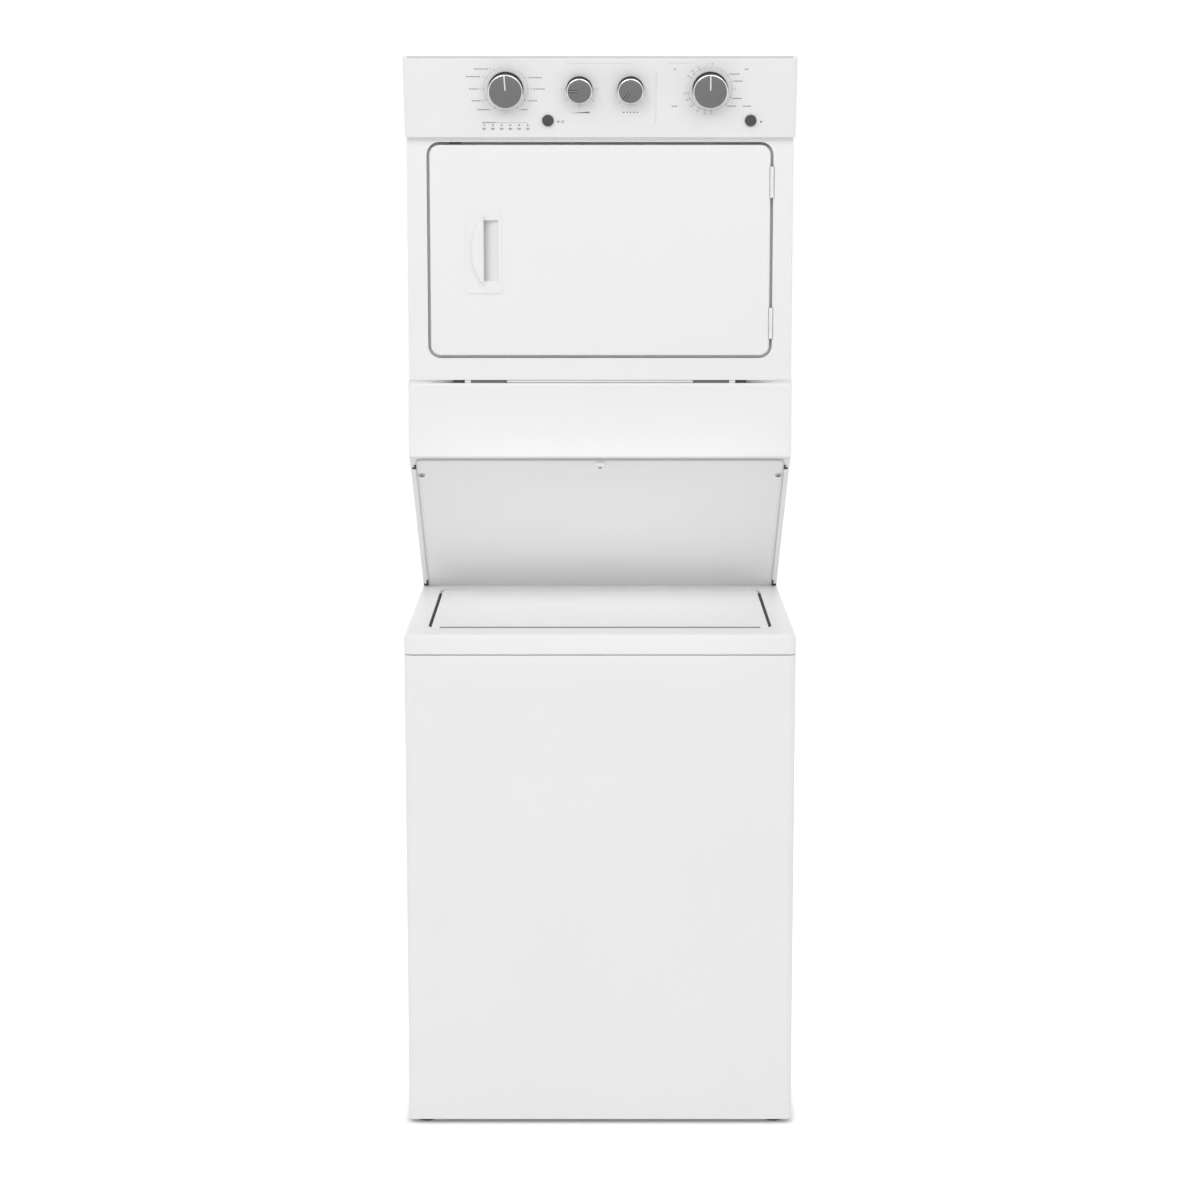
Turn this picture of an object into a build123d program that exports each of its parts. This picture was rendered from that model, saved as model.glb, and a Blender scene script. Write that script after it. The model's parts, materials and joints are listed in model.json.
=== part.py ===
from build123d import *
from math import acos, atan2, cos, degrees, hypot, radians, sin, tan
import os

# Stacked laundry centre: a top-loading washer below, a front-loading tumble dryer above.
# Millimetres, +Z up, front towards -Y. Origin on the floor under the middle of the stack.

# Whole stack
WIDTH = 692.0             # washer cabinet and control console
BODY_DEPTH = 785.0        # washer front to the rear panels
REAR_REACH = 34.0         # exhaust collar behind the rear panels
SHEET = 1.2               # cabinet steel
EDGE_RADIUS = 12.0        # rounded upright edges of the washer
TOUCH_GAP = 0.3           # between curved faces that pass each other
RUN_GAP = 0.05            # radial clearance of a shaft in its bearing

# Washer cabinet, base and feet
FOOT_GAP = 8.0            # cabinet above the floor
DECK_HEIGHT = 900.0
TOP_RIM = 35.5            # height of the skirt round the washer top
SEAM = 2.5                # dark line between the top and the cabinet
SEAM_DEPTH = 5.0
TOP_WALL = 1.5
TOP_ROUND = 6.0
FLANGE = 16.0             # folded edges of the cabinet
BASE_HEIGHT = 34.0
BASE_WIDTH = 60.0
BASE_WALL = 2.0
FOOT_PAD_RADIUS = 18.0
FOOT_PAD_HEIGHT = 6.0
FOOT_STEM_RADIUS = 5.0
FOOT_NUT_RADIUS = 10.0
FOOT_NUT_HEIGHT = 8.0
FOOT_STEM_SPARE = 12.0    # thread above the base

# Lid and its opening
LID_FRONT = 70.5          # washer front to the lid's front edge
LID_WIDTH = 604.0
LID_LENGTH = 403.5
LID_DEPTH = 18.0
LID_GAP = 5.5
LID_RADIUS = 17.0
LID_WALL = 1.5
LID_EDGE = 2.5
LID_SEAT_GAP = 2.5
LEDGE_WIDTH = 14.0
LID_AXIS_INSET = 6.3      # hinge axis in front of the lid's rear edge
LID_AXIS_DROP = 7.0       # hinge axis below the deck
LID_PIN_RADIUS = 3.0
LID_PIN_SPARE = 4.0
LID_BOSS = 14.0
STRIKE_WIDTH = 20.0
STRIKE_DROP = 12.0
STRIKE_THICKNESS = 3.0
STRIKE_SLOT_GAP = 5.0
LID_SWITCH_SIZE = 40.0

# Tub, basket and agitator
TUB_FRONT_GAP = 32.0
TUB_RADIUS = 272.0
TUB_WALL = 4.0
TUB_FLOOR_HEIGHT = 300.0
TUB_TOP_GAP = 27.0        # tub rim below the cabinet's top
TUB_MOUTH_RADIUS = 222.0
ROD_INSET = 40.0          # suspension rod from the side wall
ROD_SPREAD = 200.0        # rods before and behind the tub's axis
ROD_RADIUS = 4.0
ROD_HEAD_RADIUS = 9.0
ROD_HEAD_HEIGHT = 8.0
ROD_CUP_RADIUS = 14.0
ROD_CUP_HEIGHT = 50.0
ROD_HOLE_GAP = 1.0
GUSSET_DROP = 30.0
GUSSET_WIDTH = 44.0
GUSSET_THICKNESS = 3.0
LUG_HEIGHT = 30.0
LUG_WIDTH = 36.0
LUG_RISE = 30.0
BASKET_RADIUS = 250.0
BASKET_WALL = 2.0
BASKET_LIFT = 22.0        # basket floor above the tub floor
RING_GAP = 5.0            # balance ring below the tub's mouth
RING_HEIGHT = 36.0
RING_WIDTH = 26.0
RING_ROUND = 8.5
HUB_RADIUS = 24.0
SHAFT_RADIUS = 12.5
AGITATOR_SKIRT = 165.0
AGITATOR_WAIST = 62.0
AGITATOR_NECK = 50.0
AGITATOR_HEIGHT = 420.0
AGITATOR_SKIRT_RISE = 30.0
AGITATOR_WAIST_RISE = 110.0
AGITATOR_WALL = 4.0
AGITATOR_LIFT = 4.0
AGITATOR_HUB_WALL = 6.0
VANE_COUNT = 4
VANE_THICKNESS = 8.0
VANE_HEIGHT = 150.0
VANE_INSET = 6.0
VANE_TIP_RISE = 60.0

# Washer drive and water parts
HOUSING_DEPTH = 110.0
HOUSING_RADIUS = 60.0
HOUSING_FLANGE_RADIUS = 110.0
HOUSING_FLANGE = 8.0
ARM_WIDTH = 80.0
ARM_THICKNESS = 6.0
MOTOR_REACH = 190.0
MOTOR_RADIUS = 70.0
MOTOR_LENGTH = 100.0
PUMP_RADIUS = 45.0
PUMP_LENGTH = 60.0
PUMP_NECK_RADIUS = 15.0
PULLEY_RADIUS = 90.0
PULLEY_WIDTH = 18.0
PULLEY_GAP = 14.0
MOTOR_PULLEY_RADIUS = 22.0
MOTOR_SHAFT_RADIUS = 8.0
MOTOR_BORE_DEPTH = 40.0
WASHER_BELT_WIDTH = 12.0
WASHER_BELT_THICKNESS = 5.0
HOSE_RADIUS = 13.0
HOSE_WALL = 3.0
HOSE_BACK_GAP = 60.0
HOSE_HEIGHT = 760.0
HOSE_REACH = 28.0
HOSE_BEND = 100.0
HOSE_TOP_BEND = 50.0
HOSE_STUB = 15.0
HOLE_GAP = 0.5
STOP_RISE = 2.0           # ring on each rear connection that its hose or duct stops at
STOP_WIDTH = 2.0          # that ring outside the rear panel
INLET_RADIUS = 13.2
INLET_REACH = 26.0
INLET_SPACING = 66.0
VALVE_WIDTH = 120.0
VALVE_SIZE = 32.0
VALVE_DEPTH = 50.0
SPOUT_RADIUS = 9.0
SPOUT_INSET = 16.0
SPOUT_GAP = 1.0           # spout above the tub rim
NECK_WALL = 14.0          # bearing wall round the basket hub
NECK_RISE = 6.0
HUB_DROP = 4.0
SHAFT_END_GAP = 14.0

# Dryer shell
DRYER_INSET = 3.0         # dryer sides inside the washer's
RECESS_HEIGHT = 294.0     # washer deck to the access panel
RECESS_TOP_SETBACK = 165.0
RECESS_FOOT_SETBACK = 521.0
RECESS_FOLD = 10.0
RECESS_FLANGE = 28.0
BUMPER_RADIUS = 10.0
BUMPER_HEIGHT = 8.0
BUMPER_ROUND = 2.0
BUMPER_PAST_EDGE = 5.8    # middle of the bumper past the open lid's front edge
BAND_HEIGHT = 135.0       # access panel
BAND_GAP = 5.5
BAND_SETBACK = 155.0
BAND_WALL = 1.0           # access panel steel, wrapped round the dryer's sides
BAND_SIDE_RETURN = 22.0
BAND_TOP_RETURN = 8.5
BAND_RADIUS = 5.0
FACE_HEIGHT = 430.5       # dryer front panel
FACE_SETBACK = 160.0
FACE_RETURN = 14.0
FACE_RADIUS = 4.0
RAIL_HALF = 167.0         # strip behind the gap over the access panel
RAIL_CLEAR = 0.9          # strip above the access panel
RAIL_BACK = 1.5
ROOF_RIM = 16.0
ROOF_DROP = 5.0           # roof below the top of the console
ROOF_ROUND = 5.0

# Dryer door
DOOR_MARGIN = 43.5        # door edge inside the side of the washer
DOOR_HEIGHT = 373.0
DOOR_RISE = 230.5         # middle of the door above the lower edge of the front panel
DOOR_GAP = 5.0
DOOR_RADIUS = 18.0
DOOR_SKIN_DEPTH = 12.0
DOOR_DEPTH = 20.0
DOOR_EDGE = 2.5
DOOR_WALL = 1.2
RECESS_DEPTH = 26.0
THROAT_WIDTH = 430.0
THROAT_HEIGHT = 300.0
THROAT_RADIUS = 60.0
GASKET_MARGIN = 26.0
GASKET_WIDTH = 12.0
GASKET_THICKNESS = 4.2
HINGE_RISE = 125.0        # each hinge from the middle between them
HINGE_DROP = 4.0          # that middle below the middle of the door
HINGE_LENGTH = 55.0
KNUCKLE_RADIUS = 3.5
HINGE_PIN_RADIUS = 2.0
KNUCKLE_GAP = 0.5
KNUCKLE_NOTCH = 1.0
LEAF_THICKNESS = 1.5
HINGE_PROUD = 0.5
HANDLE_LEFT = 239.0       # outer edge of the grip plate left of the middle
HANDLE_WIDTH = 64.5
HANDLE_HEIGHT = 153.0
HANDLE_RADIUS = 7.0
HANDLE_PROUD = 2.0
HANDLE_LIP = 4.0
HANDLE_EDGE = 1.2
GRIP_INSET = 10.0
GRIP_WIDTH = 22.5
GRIP_HEIGHT = 126.0
GRIP_PROUD = 9.0
GRIP_ROUND = 4.5
POCKET_INSET = 17.0
POCKET_WIDTH = 41.0
POCKET_HEIGHT = 108.0
POCKET_WALL = 1.5
POCKET_SHALLOW = 2.0      # depth of the finger pocket at its far side
STRIKE_LEFT = 270.0
DOOR_STRIKE_WIDTH = 8.0
DOOR_STRIKE_HEIGHT = 24.0
DOOR_STRIKE_REACH = 18.0
DOOR_STRIKE_GAP = 6.0
CATCH_WALL = 4.0
CATCH_DEPTH = 22.0
SWITCH_LEFT = 257.0
SWITCH_WIDTH = 21.0
SWITCH_HEIGHT = 6.0
SWITCH_PROUD = 2.0

# Dryer drum and air parts
DRUM_RADIUS = 296.0
DRUM_SHEET = 1.0
DRUM_RISE = 243.5         # drum axis above the lower edge of the front panel
DRUM_LENGTH = 505.0
DRUM_SETBACK = 240.0
BULKHEAD_WALL = 1.5
BULKHEAD_GAP = 10.0       # bulkhead plates beyond the drum's ends
COLLAR_RADIUS = 285.5
COLLAR_REACH = 22.0       # bulkhead collars inside the drum
FELT_WIDTH = 16.0
BAFFLE_COUNT = 3
BAFFLE_HEIGHT = 60.0
BAFFLE_BASE = 64.0
BAFFLE_TIP = 26.0
BAFFLE_ROUND = 8.5
BAFFLE_END_GAP = 30.0
SHELF_GAP = 5.0           # shelf above the recess
SHELF_THICKNESS = 2.0
SHELF_SETBACK = 188.0
BLOWER_LEFT = 240.0
BLOWER_RADIUS = 80.0
BLOWER_WALL = 2.0
BLOWER_DEPTH = 52.0
WHEEL_RADIUS = 68.0
WHEEL_DEPTH = 36.0
WHEEL_BLADES = 20
BLADE_LENGTH = 16.0
BLADE_THICKNESS = 1.6
WHEEL_HUB_RADIUS = 16.0
INLET_PORT_RADIUS = 50.0
CHUTE_DEPTH = 34.0
CHUTE_WALL = 2.0
OUTLET_WIDTH = 56.0
SCREEN_WIDTH = 200.0
SCREEN_HEIGHT = 105.0
SCREEN_THICKNESS = 10.0
SCREEN_FRAME = 8.0
SCREEN_MESH = 1.0
SCREEN_GAP = 0.3
SCREEN_LIP = 4.0
SCREEN_LIP_HEIGHT = 4.0
DRYER_MOTOR_RADIUS = 62.0
DRYER_MOTOR_LENGTH = 140.0
DRYER_MOTOR_GAP = 14.0
DRYER_MOTOR_FOOT = 87.0
DRYER_PULLEY_RADIUS = 12.0
DRYER_BELT_WIDTH = 8.0
DRYER_BELT_THICKNESS = 3.0
IDLER_RADIUS = 22.0
IDLER_AXLE_RADIUS = 5.0
IDLER_WIDTH = 12.0
IDLER_SHIFT = 130.0       # idler from the motor towards the middle
BRACKET_THICKNESS = 4.0
BRACKET_WIDTH = 30.0
ROLLER_RADIUS = 38.0
ROLLER_WIDTH = 20.0
ROLLER_ANGLE = 35.0
ROLLER_AXLE_RADIUS = 7.5
ROLLER_BACK_GAP = 36.0
HEATER_LEFT = 140.0
HEATER_WIDTH = 180.0
HEATER_HEIGHT = 86.0
HEATER_LENGTH = 170.0
HEATER_DUCT_HEIGHT = 52.0
HEATER_BACK = 90.0
HEATER_WALL = 1.0
HEAT_HOLE_RADIUS = 6.0
HEAT_HOLE_PITCH = 22.0
HEAT_HOLE_COLUMNS = 9
HEAT_HOLE_ROWS = 5
DUCT_RADIUS = 50.8
DUCT_WALL = 1.0
DUCT_DROP = 10.0
ELBOW_LENGTH = 104.0
ELBOW_GAP = 16.0          # elbow behind the slanted panel
ELBOW_MARGIN = 2.0

# Console, knobs and buttons
CONSOLE_HEIGHT = 140.0
CONSOLE_FOOT_SETBACK = 148.0
CONSOLE_TOP_SETBACK = 114.0
CONSOLE_BACK = 190.0
CONSOLE_WALL = 2.5
CONSOLE_SIDE_ROUND = 9.0
CONSOLE_TOP_ROUND = 4.0
KNOB_RISE = 86.0          # knob axes above the lower edge of the console, along its face
BUTTON_RISE = 30.0
LIGHT_RISE = 21.5
CYCLE_KNOB_SHARE = -0.478     # places along the console, as shares of its half width from the middle
WASHER_BUTTON_SHARE = -0.265
TEMPERATURE_KNOB_SHARE = -0.1046
LIGHT_SHARE = -0.5896
SOFTENER_KNOB_SHARE = 0.1549
TIMER_KNOB_SHARE = 0.5581
DRYER_BUTTON_SHARE = 0.7668
CYCLE_TURN = 4.0          # pointers at rest, anticlockwise from straight up
TEMPERATURE_TURN = 90.0
SOFTENER_TURN = 142.0
TIMER_TURN = 0.0
LARGE_KNOB_RADIUS = 31.0
SMALL_KNOB_RADIUS = 23.0
LARGE_KNOB_HEIGHT = 24.0
SMALL_KNOB_HEIGHT = 20.0
KNOB_SKIRT = 4.0
KNOB_TAPER = 0.8
KNOB_CHAMFER = 1.5
KNOB_GAP = 0.6
STEM_RADIUS = 4.0
STEM_LENGTH = 22.0
STEM_HOLE_GAP = 1.0
POINTER_WIDTH = 2.4
POINTER_HEIGHT = 0.8
POINTER_INSET = 4.0
SWITCH_BODY = 36.0
SWITCH_DEPTH = 26.0
BUTTON_RADIUS = 10.0
BUTTON_PROUD = 4.0
BUTTON_ROUND = 1.0
BUTTON_TRAVEL = 3.0
BUTTON_STEM_RADIUS = 3.0
BUTTON_SWITCH = 16.0
LIGHT_COUNT = 6
LIGHT_PITCH = 15.3
LIGHT_RADIUS = 1.75
LIGHT_PROUD = 0.4

# Rear terminal cover
COVER_RIGHT = 235.0
COVER_WIDTH = 110.0
COVER_HEIGHT = 100.0
COVER_RISE = 60.0
COVER_DEPTH = 24.0
COVER_WALL = 2.0
CORD_HOLE_RADIUS = 9.0

# Places that follow from the sizes
FRONT = -(BODY_DEPTH + REAR_REACH) / 2
REAR = FRONT + BODY_DEPTH
HALF = WIDTH / 2
DRYER_HALF = HALF - DRYER_INSET
CABINET_TOP = DECK_HEIGHT - TOP_RIM - SEAM
BAND_FOOT = DECK_HEIGHT + RECESS_HEIGHT
FACE_FOOT = BAND_FOOT + BAND_HEIGHT + BAND_GAP
CONSOLE_FOOT = FACE_FOOT + FACE_HEIGHT
TOP = CONSOLE_FOOT + CONSOLE_HEIGHT
ROOF = TOP - ROOF_DROP
TUB_Y = FRONT + SHEET + TUB_FRONT_GAP + TUB_RADIUS
TUB_TOP = CABINET_TOP - TUB_TOP_GAP
BASKET_FOOT = TUB_FLOOR_HEIGHT + BASKET_LIFT
BASKET_TOP = TUB_TOP - TUB_WALL - RING_GAP - RING_HEIGHT
AGITATOR_FOOT = BASKET_FOOT + BASKET_WALL + AGITATOR_LIFT
AGITATOR_TOP = AGITATOR_FOOT + AGITATOR_HEIGHT
NECK_RADIUS = HUB_RADIUS + RUN_GAP + NECK_WALL
HUB_FOOT = TUB_FLOOR_HEIGHT - HOUSING_DEPTH - HUB_DROP
ROD_X = HALF - SHEET - ROD_INSET
ROD_PLACES = [(x, TUB_Y + y) for x in (-ROD_X, ROD_X) for y in (-ROD_SPREAD, ROD_SPREAD)]
GUSSET_TOP = CABINET_TOP - GUSSET_DROP
LUG_FOOT = TUB_FLOOR_HEIGHT + LUG_RISE
FOOT_X = HALF - SHEET - BASE_WIDTH / 2
FOOT_YS = (FRONT + SHEET + BASE_WIDTH / 2, REAR - 2 * SHEET - BASE_WIDTH / 2)
FOOT_PLACES = [(x, y) for x in (-FOOT_X, FOOT_X) for y in FOOT_YS]
BASE_TOP = FOOT_GAP + BASE_HEIGHT
LEDGE_Z = DECK_HEIGHT - LID_DEPTH - LID_SEAT_GAP
VALVE_Z = TUB_TOP + SPOUT_GAP + SPOUT_RADIUS
INLET_XS = (-INLET_SPACING / 2, INLET_SPACING / 2)
STRIKE_Y = FRONT + LID_FRONT + LID_WALL + STRIKE_THICKNESS / 2
DOOR_Z = FACE_FOOT + DOOR_RISE
FACE_Y = FRONT + FACE_SETBACK
FLANGE_Y = FACE_Y + RECESS_DEPTH
DRUM_Z = FACE_FOOT + DRUM_RISE
DRUM_FRONT = FRONT + DRUM_SETBACK
DRUM_REAR = DRUM_FRONT + DRUM_LENGTH
SHELF_Z = BAND_FOOT + SHELF_GAP
SHELF_TOP = SHELF_Z + SHELF_THICKNESS
BLOWER_X = -BLOWER_LEFT
BLOWER_Z = SHELF_TOP + BLOWER_RADIUS + TOUCH_GAP
PLATE_Y = DRUM_FRONT - BULKHEAD_GAP
BACK_PLATE_Y = DRUM_REAR + BULKHEAD_GAP - BULKHEAD_WALL
BLOWER_Y = PLATE_Y + TOUCH_GAP
MOTOR_Y = BLOWER_Y + BLOWER_DEPTH + DRYER_MOTOR_GAP
BELT_Y = MOTOR_Y + DRYER_MOTOR_LENGTH + DRYER_MOTOR_GAP
SLOPE_LENGTH = hypot(RECESS_HEIGHT, RECESS_FOOT_SETBACK - RECESS_TOP_SETBACK)
THROAT_FLOOR = DOOR_Z - THROAT_HEIGHT / 2
CHUTE_BACK = PLATE_Y - BULKHEAD_WALL - TOUCH_GAP
CHUTE_FRONT = CHUTE_BACK - CHUTE_DEPTH
SCREEN_Y = (CHUTE_FRONT + CHUTE_BACK) / 2
BAND_Y = FRONT + BAND_SETBACK
ROOF_FOOT = ROOF - ROOF_RIM
INNER_HALF = DRYER_HALF - SHEET
DUCT_Z = SHELF_Z - DUCT_DROP - DUCT_RADIUS
ROLLER_SWING = DRUM_RADIUS + ROLLER_RADIUS + TOUCH_GAP
ROLLER_X = ROLLER_SWING * sin(radians(ROLLER_ANGLE))
ROLLER_Z = DRUM_Z - ROLLER_SWING * cos(radians(ROLLER_ANGLE))
ROLLER_Y = BACK_PLATE_Y - ROLLER_BACK_GAP - ROLLER_WIDTH
LID_AXIS_Y = FRONT + LID_FRONT + LID_LENGTH - LID_AXIS_INSET
LID_AXIS_Z = DECK_HEIGHT - LID_AXIS_DROP
LID_MID_Y = FRONT + LID_FRONT + LID_LENGTH / 2
DOOR_WIDTH = WIDTH - 2 * DOOR_MARGIN
HINGE_X = DOOR_WIDTH / 2 + DOOR_GAP / 2
HINGE_Y = FACE_Y - HINGE_PROUD
HINGE_HEIGHTS = (DOOR_Z - HINGE_DROP + HINGE_RISE, DOOR_Z - HINGE_DROP - HINGE_RISE)
PULLEY_TOP = TUB_FLOOR_HEIGHT - HOUSING_DEPTH - PULLEY_GAP
ARM_TOP = TUB_FLOOR_HEIGHT - HOUSING_FLANGE
ARM_FOOT = ARM_TOP - ARM_THICKNESS
SLOPE = atan2(RECESS_HEIGHT, RECESS_FOOT_SETBACK - RECESS_TOP_SETBACK)
FRONT_DOWN = Vector(0, -sin(SLOPE), -cos(SLOPE))
LEAN = atan2(CONSOLE_FOOT_SETBACK - CONSOLE_TOP_SETBACK, CONSOLE_HEIGHT)
OUTWARD = Vector(0, -cos(LEAN), -sin(LEAN))
ACROSS = Vector(1, 0, 0)
BACKWARD = Vector(0, 1, 0)
UPWARD = Vector(0, 0, 1)
FROM_START = (Align.CENTER, Align.CENTER, Align.MIN)


# Small building blocks

def block(x0, x1, y0, y1, z0, z1):
    """Box between two opposite corners."""
    return Pos((x0 + x1) / 2, (y0 + y1) / 2, (z0 + z1) / 2) * Box(x1 - x0, y1 - y0, z1 - z0)


def rod(start, axis, radius, length):
    """Round bar that starts at a point and runs along an axis."""
    return Plane(origin=start, z_dir=axis) * Cylinder(radius, length, align=FROM_START)


def pipe(start, axis, radius, bore, length):
    """Round tube that starts at a point and runs along an axis."""
    return rod(start, axis, radius, length) - rod(start, axis, bore, length)


def upright(face, z0, z1):
    """A flat outline in X and Y, raised from one height to another."""
    return extrude(Plane.XY.offset(z0) * face, z1 - z0)


def facing(face, y0, y1, z):
    """A flat outline in X and Z about a height, carried back from one depth to another."""
    return extrude(Plane.XZ.offset(-y0) * Pos(0, z) * face, y0 - y1)


def profile(points, x0, x1):
    """A polygon of (y, z) points carried across from x0 to x1."""
    outline = Plane.YZ.offset(x0) * make_face(Polyline(*points, close=True))
    return extrude(outline, x1 - x0)


def turned(points, y=0.0):
    """A polygon of (radius, height) points turned about an upright axis at a depth."""
    outline = Plane.XZ * make_face(Polyline(*points, close=True))
    return Pos(0, y, 0) * revolve(outline, Axis.Z)


def both_sides(shape):
    """A piece and its mirror image across the middle of the stack."""
    return [shape, mirror(shape, Plane.YZ)]


def loop_belt(first, first_radius, second, second_radius, thickness):
    """Flat outline of a belt laid round two wheels."""
    def around(grow):
        wheels = [
            Pos(*first) * CenterArc((0, 0), first_radius + grow, 0, 360),
            Pos(*second) * CenterArc((0, 0), second_radius + grow, 0, 360),
        ]
        return make_hull(ShapeList(wheels).edges())
    return around(TOUCH_GAP + thickness) - around(TOUCH_GAP)


def slant(along, away):
    """Point (y, z) on the slanted recess panel, measured up from its foot and out from its face."""
    y = FRONT + RECESS_FOOT_SETBACK - along * cos(SLOPE) - away * sin(SLOPE)
    return (y, DECK_HEIGHT + along * sin(SLOPE) - away * cos(SLOPE))


def console_plane(x, rise):
    """Plane on the console's face, X to the right, Z out of the face."""
    y = FRONT + CONSOLE_FOOT_SETBACK - rise * sin(LEAN)
    return Plane(origin=(x, y, CONSOLE_FOOT + rise * cos(LEAN)), x_dir=ACROSS, z_dir=OUTWARD)


# Washer shell

def rounded_front(inset, rear):
    """Plan outline of the washer, drawn in by an inset, with its two front corners rounded."""
    depth = rear - FRONT - inset
    outline = Pos(0, FRONT + inset + depth / 2) * Rectangle(WIDTH - 2 * inset, depth)
    return fillet(outline.vertices().sort_by(Axis.Y)[:2], EDGE_RADIUS - min(inset, EDGE_RADIUS / 2))


def washer_cabinet():
    """Wrapped sheet of the front and both sides, with folded edges and four welded gussets."""
    past_rear = REAR + SHEET
    outer = rounded_front(0, REAR)
    shell = upright(outer - rounded_front(SHEET, past_rear), FOOT_GAP, CABINET_TOP)
    shell += upright(outer - rounded_front(FLANGE, past_rear), CABINET_TOP - SHEET, CABINET_TOP)
    rear_fold = block(HALF - FLANGE, HALF - SHEET, REAR - 2 * SHEET, REAR - SHEET, FOOT_GAP, CABINET_TOP)
    shell += both_sides(rear_fold)
    for x, y in ROD_PLACES:
        wall = HALF - SHEET if x > 0 else SHEET - HALF
        end = x - GUSSET_WIDTH / 2 if x > 0 else x + GUSSET_WIDTH / 2
        near, far = sorted((wall, end))
        foot = GUSSET_TOP - GUSSET_THICKNESS
        gusset = block(near, far, y - GUSSET_WIDTH / 2, y + GUSSET_WIDTH / 2, foot, GUSSET_TOP)
        hole = rod((x, y, foot), UPWARD, ROD_RADIUS + ROD_HOLE_GAP, GUSSET_THICKNESS)
        shell += gusset - hole
    return shell


def washer_rear_panel():
    """Flat back of the washer with holes for the two water inlets and the drain."""
    panel = block(SHEET - HALF, HALF - SHEET, REAR - SHEET, REAR, FOOT_GAP, CABINET_TOP - SHEET)
    for x in INLET_XS:
        panel -= rod((x, REAR - SHEET, VALVE_Z), BACKWARD, INLET_RADIUS + STOP_RISE + HOLE_GAP, SHEET)
    drain_hole = HOSE_RADIUS + STOP_RISE + HOLE_GAP
    return panel - rod((MOTOR_REACH, REAR - SHEET, HOSE_HEIGHT), BACKWARD, drain_hole, SHEET)


def base_frame():
    """Open channel round the foot of the cabinet, holding the four feet."""
    def ring(inset, width):
        outline = rounded_front(SHEET + inset, REAR - 2 * SHEET - inset)
        middle = (FRONT + REAR - SHEET) / 2
        hole = Rectangle(WIDTH - 2 * SHEET - 2 * width, BODY_DEPTH - 3 * SHEET - 2 * width)
        return outline - Pos(0, middle) * hole
    frame = upright(ring(0, BASE_WIDTH), FOOT_GAP, BASE_TOP)
    frame -= upright(ring(BASE_WALL, BASE_WIDTH - BASE_WALL), FOOT_GAP, BASE_TOP - BASE_WALL)
    for x, y in FOOT_PLACES:
        frame -= rod((x, y, BASE_TOP - BASE_WALL), UPWARD, FOOT_STEM_RADIUS + HOLE_GAP, BASE_WALL)
    return frame


def levelling_feet():
    """Four screwed feet, each a round pad, a threaded stem and a lock nut under the base."""
    feet = []
    for x, y in FOOT_PLACES:
        foot = rod((x, y, 0), UPWARD, FOOT_PAD_RADIUS, FOOT_PAD_HEIGHT)
        foot += rod((x, y, 0), UPWARD, FOOT_STEM_RADIUS, BASE_TOP + FOOT_STEM_SPARE)
        nut = Pos(x, y) * RegularPolygon(FOOT_NUT_RADIUS, 6)
        foot += upright(nut, BASE_TOP - BASE_WALL - FOOT_NUT_HEIGHT, BASE_TOP - BASE_WALL)
        feet.append(foot)
    return feet


def lid_outline(grow):
    """Rounded rectangle of the lid, grown evenly all round."""
    shape = RectangleRounded(LID_WIDTH + 2 * grow, LID_LENGTH + 2 * grow, LID_RADIUS + grow)
    return Pos(0, LID_MID_Y) * shape


def lid_axis_rod(radius):
    """Bar right across the washer on the lid's hinge axis."""
    return rod((-HALF, LID_AXIS_Y, LID_AXIS_Z), ACROSS, radius, WIDTH)


def washer_top():
    """Pressed top with a rounded skirt, a lip that sits on the cabinet and a sunk seat for the lid."""
    def pan(inset, foot, height, rounding):
        body = upright(rounded_front(inset, REAR - inset), foot, height)
        rim = [e for e in body.edges().group_by(Axis.Z)[-1] if e.center().Y < REAR - inset - SHEET]
        return fillet(rim, rounding)
    foot = DECK_HEIGHT - TOP_RIM
    top = pan(0, foot, DECK_HEIGHT, TOP_ROUND)
    top -= pan(TOP_WALL, foot, DECK_HEIGHT - TOP_WALL, TOP_ROUND - TOP_WALL)
    lip_out = rounded_front(SEAM_DEPTH, REAR - SEAM_DEPTH)
    lip_in = rounded_front(SEAM_DEPTH + TOP_WALL, REAR - SEAM_DEPTH - TOP_WALL)
    top += upright(rounded_front(TOP_WALL / 2, REAR - TOP_WALL / 2) - lip_in, foot, foot + TOP_WALL)
    top += upright(lip_out - lip_in, CABINET_TOP, foot + TOP_WALL)
    top += upright(lid_outline(LID_GAP + TOP_WALL), LEDGE_Z - TOP_WALL, DECK_HEIGHT - TOP_WALL / 2)
    top -= upright(lid_outline(LID_GAP), LEDGE_Z, DECK_HEIGHT)
    top -= upright(lid_outline(LID_GAP - LEDGE_WIDTH), LEDGE_Z - TOP_WALL, LEDGE_Z)
    top -= lid_axis_rod(LID_PIN_RADIUS + RUN_GAP)
    return top - strike_space(LEDGE_Z - TOP_WALL, LEDGE_Z)


def strike_space(z0, z1):
    """Room for the lid's strike between two heights."""
    half = STRIKE_WIDTH / 2 + STRIKE_SLOT_GAP
    reach = STRIKE_THICKNESS / 2 + STRIKE_SLOT_GAP
    return block(-half, half, STRIKE_Y - reach, STRIKE_Y + reach, z0, z1)


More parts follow.
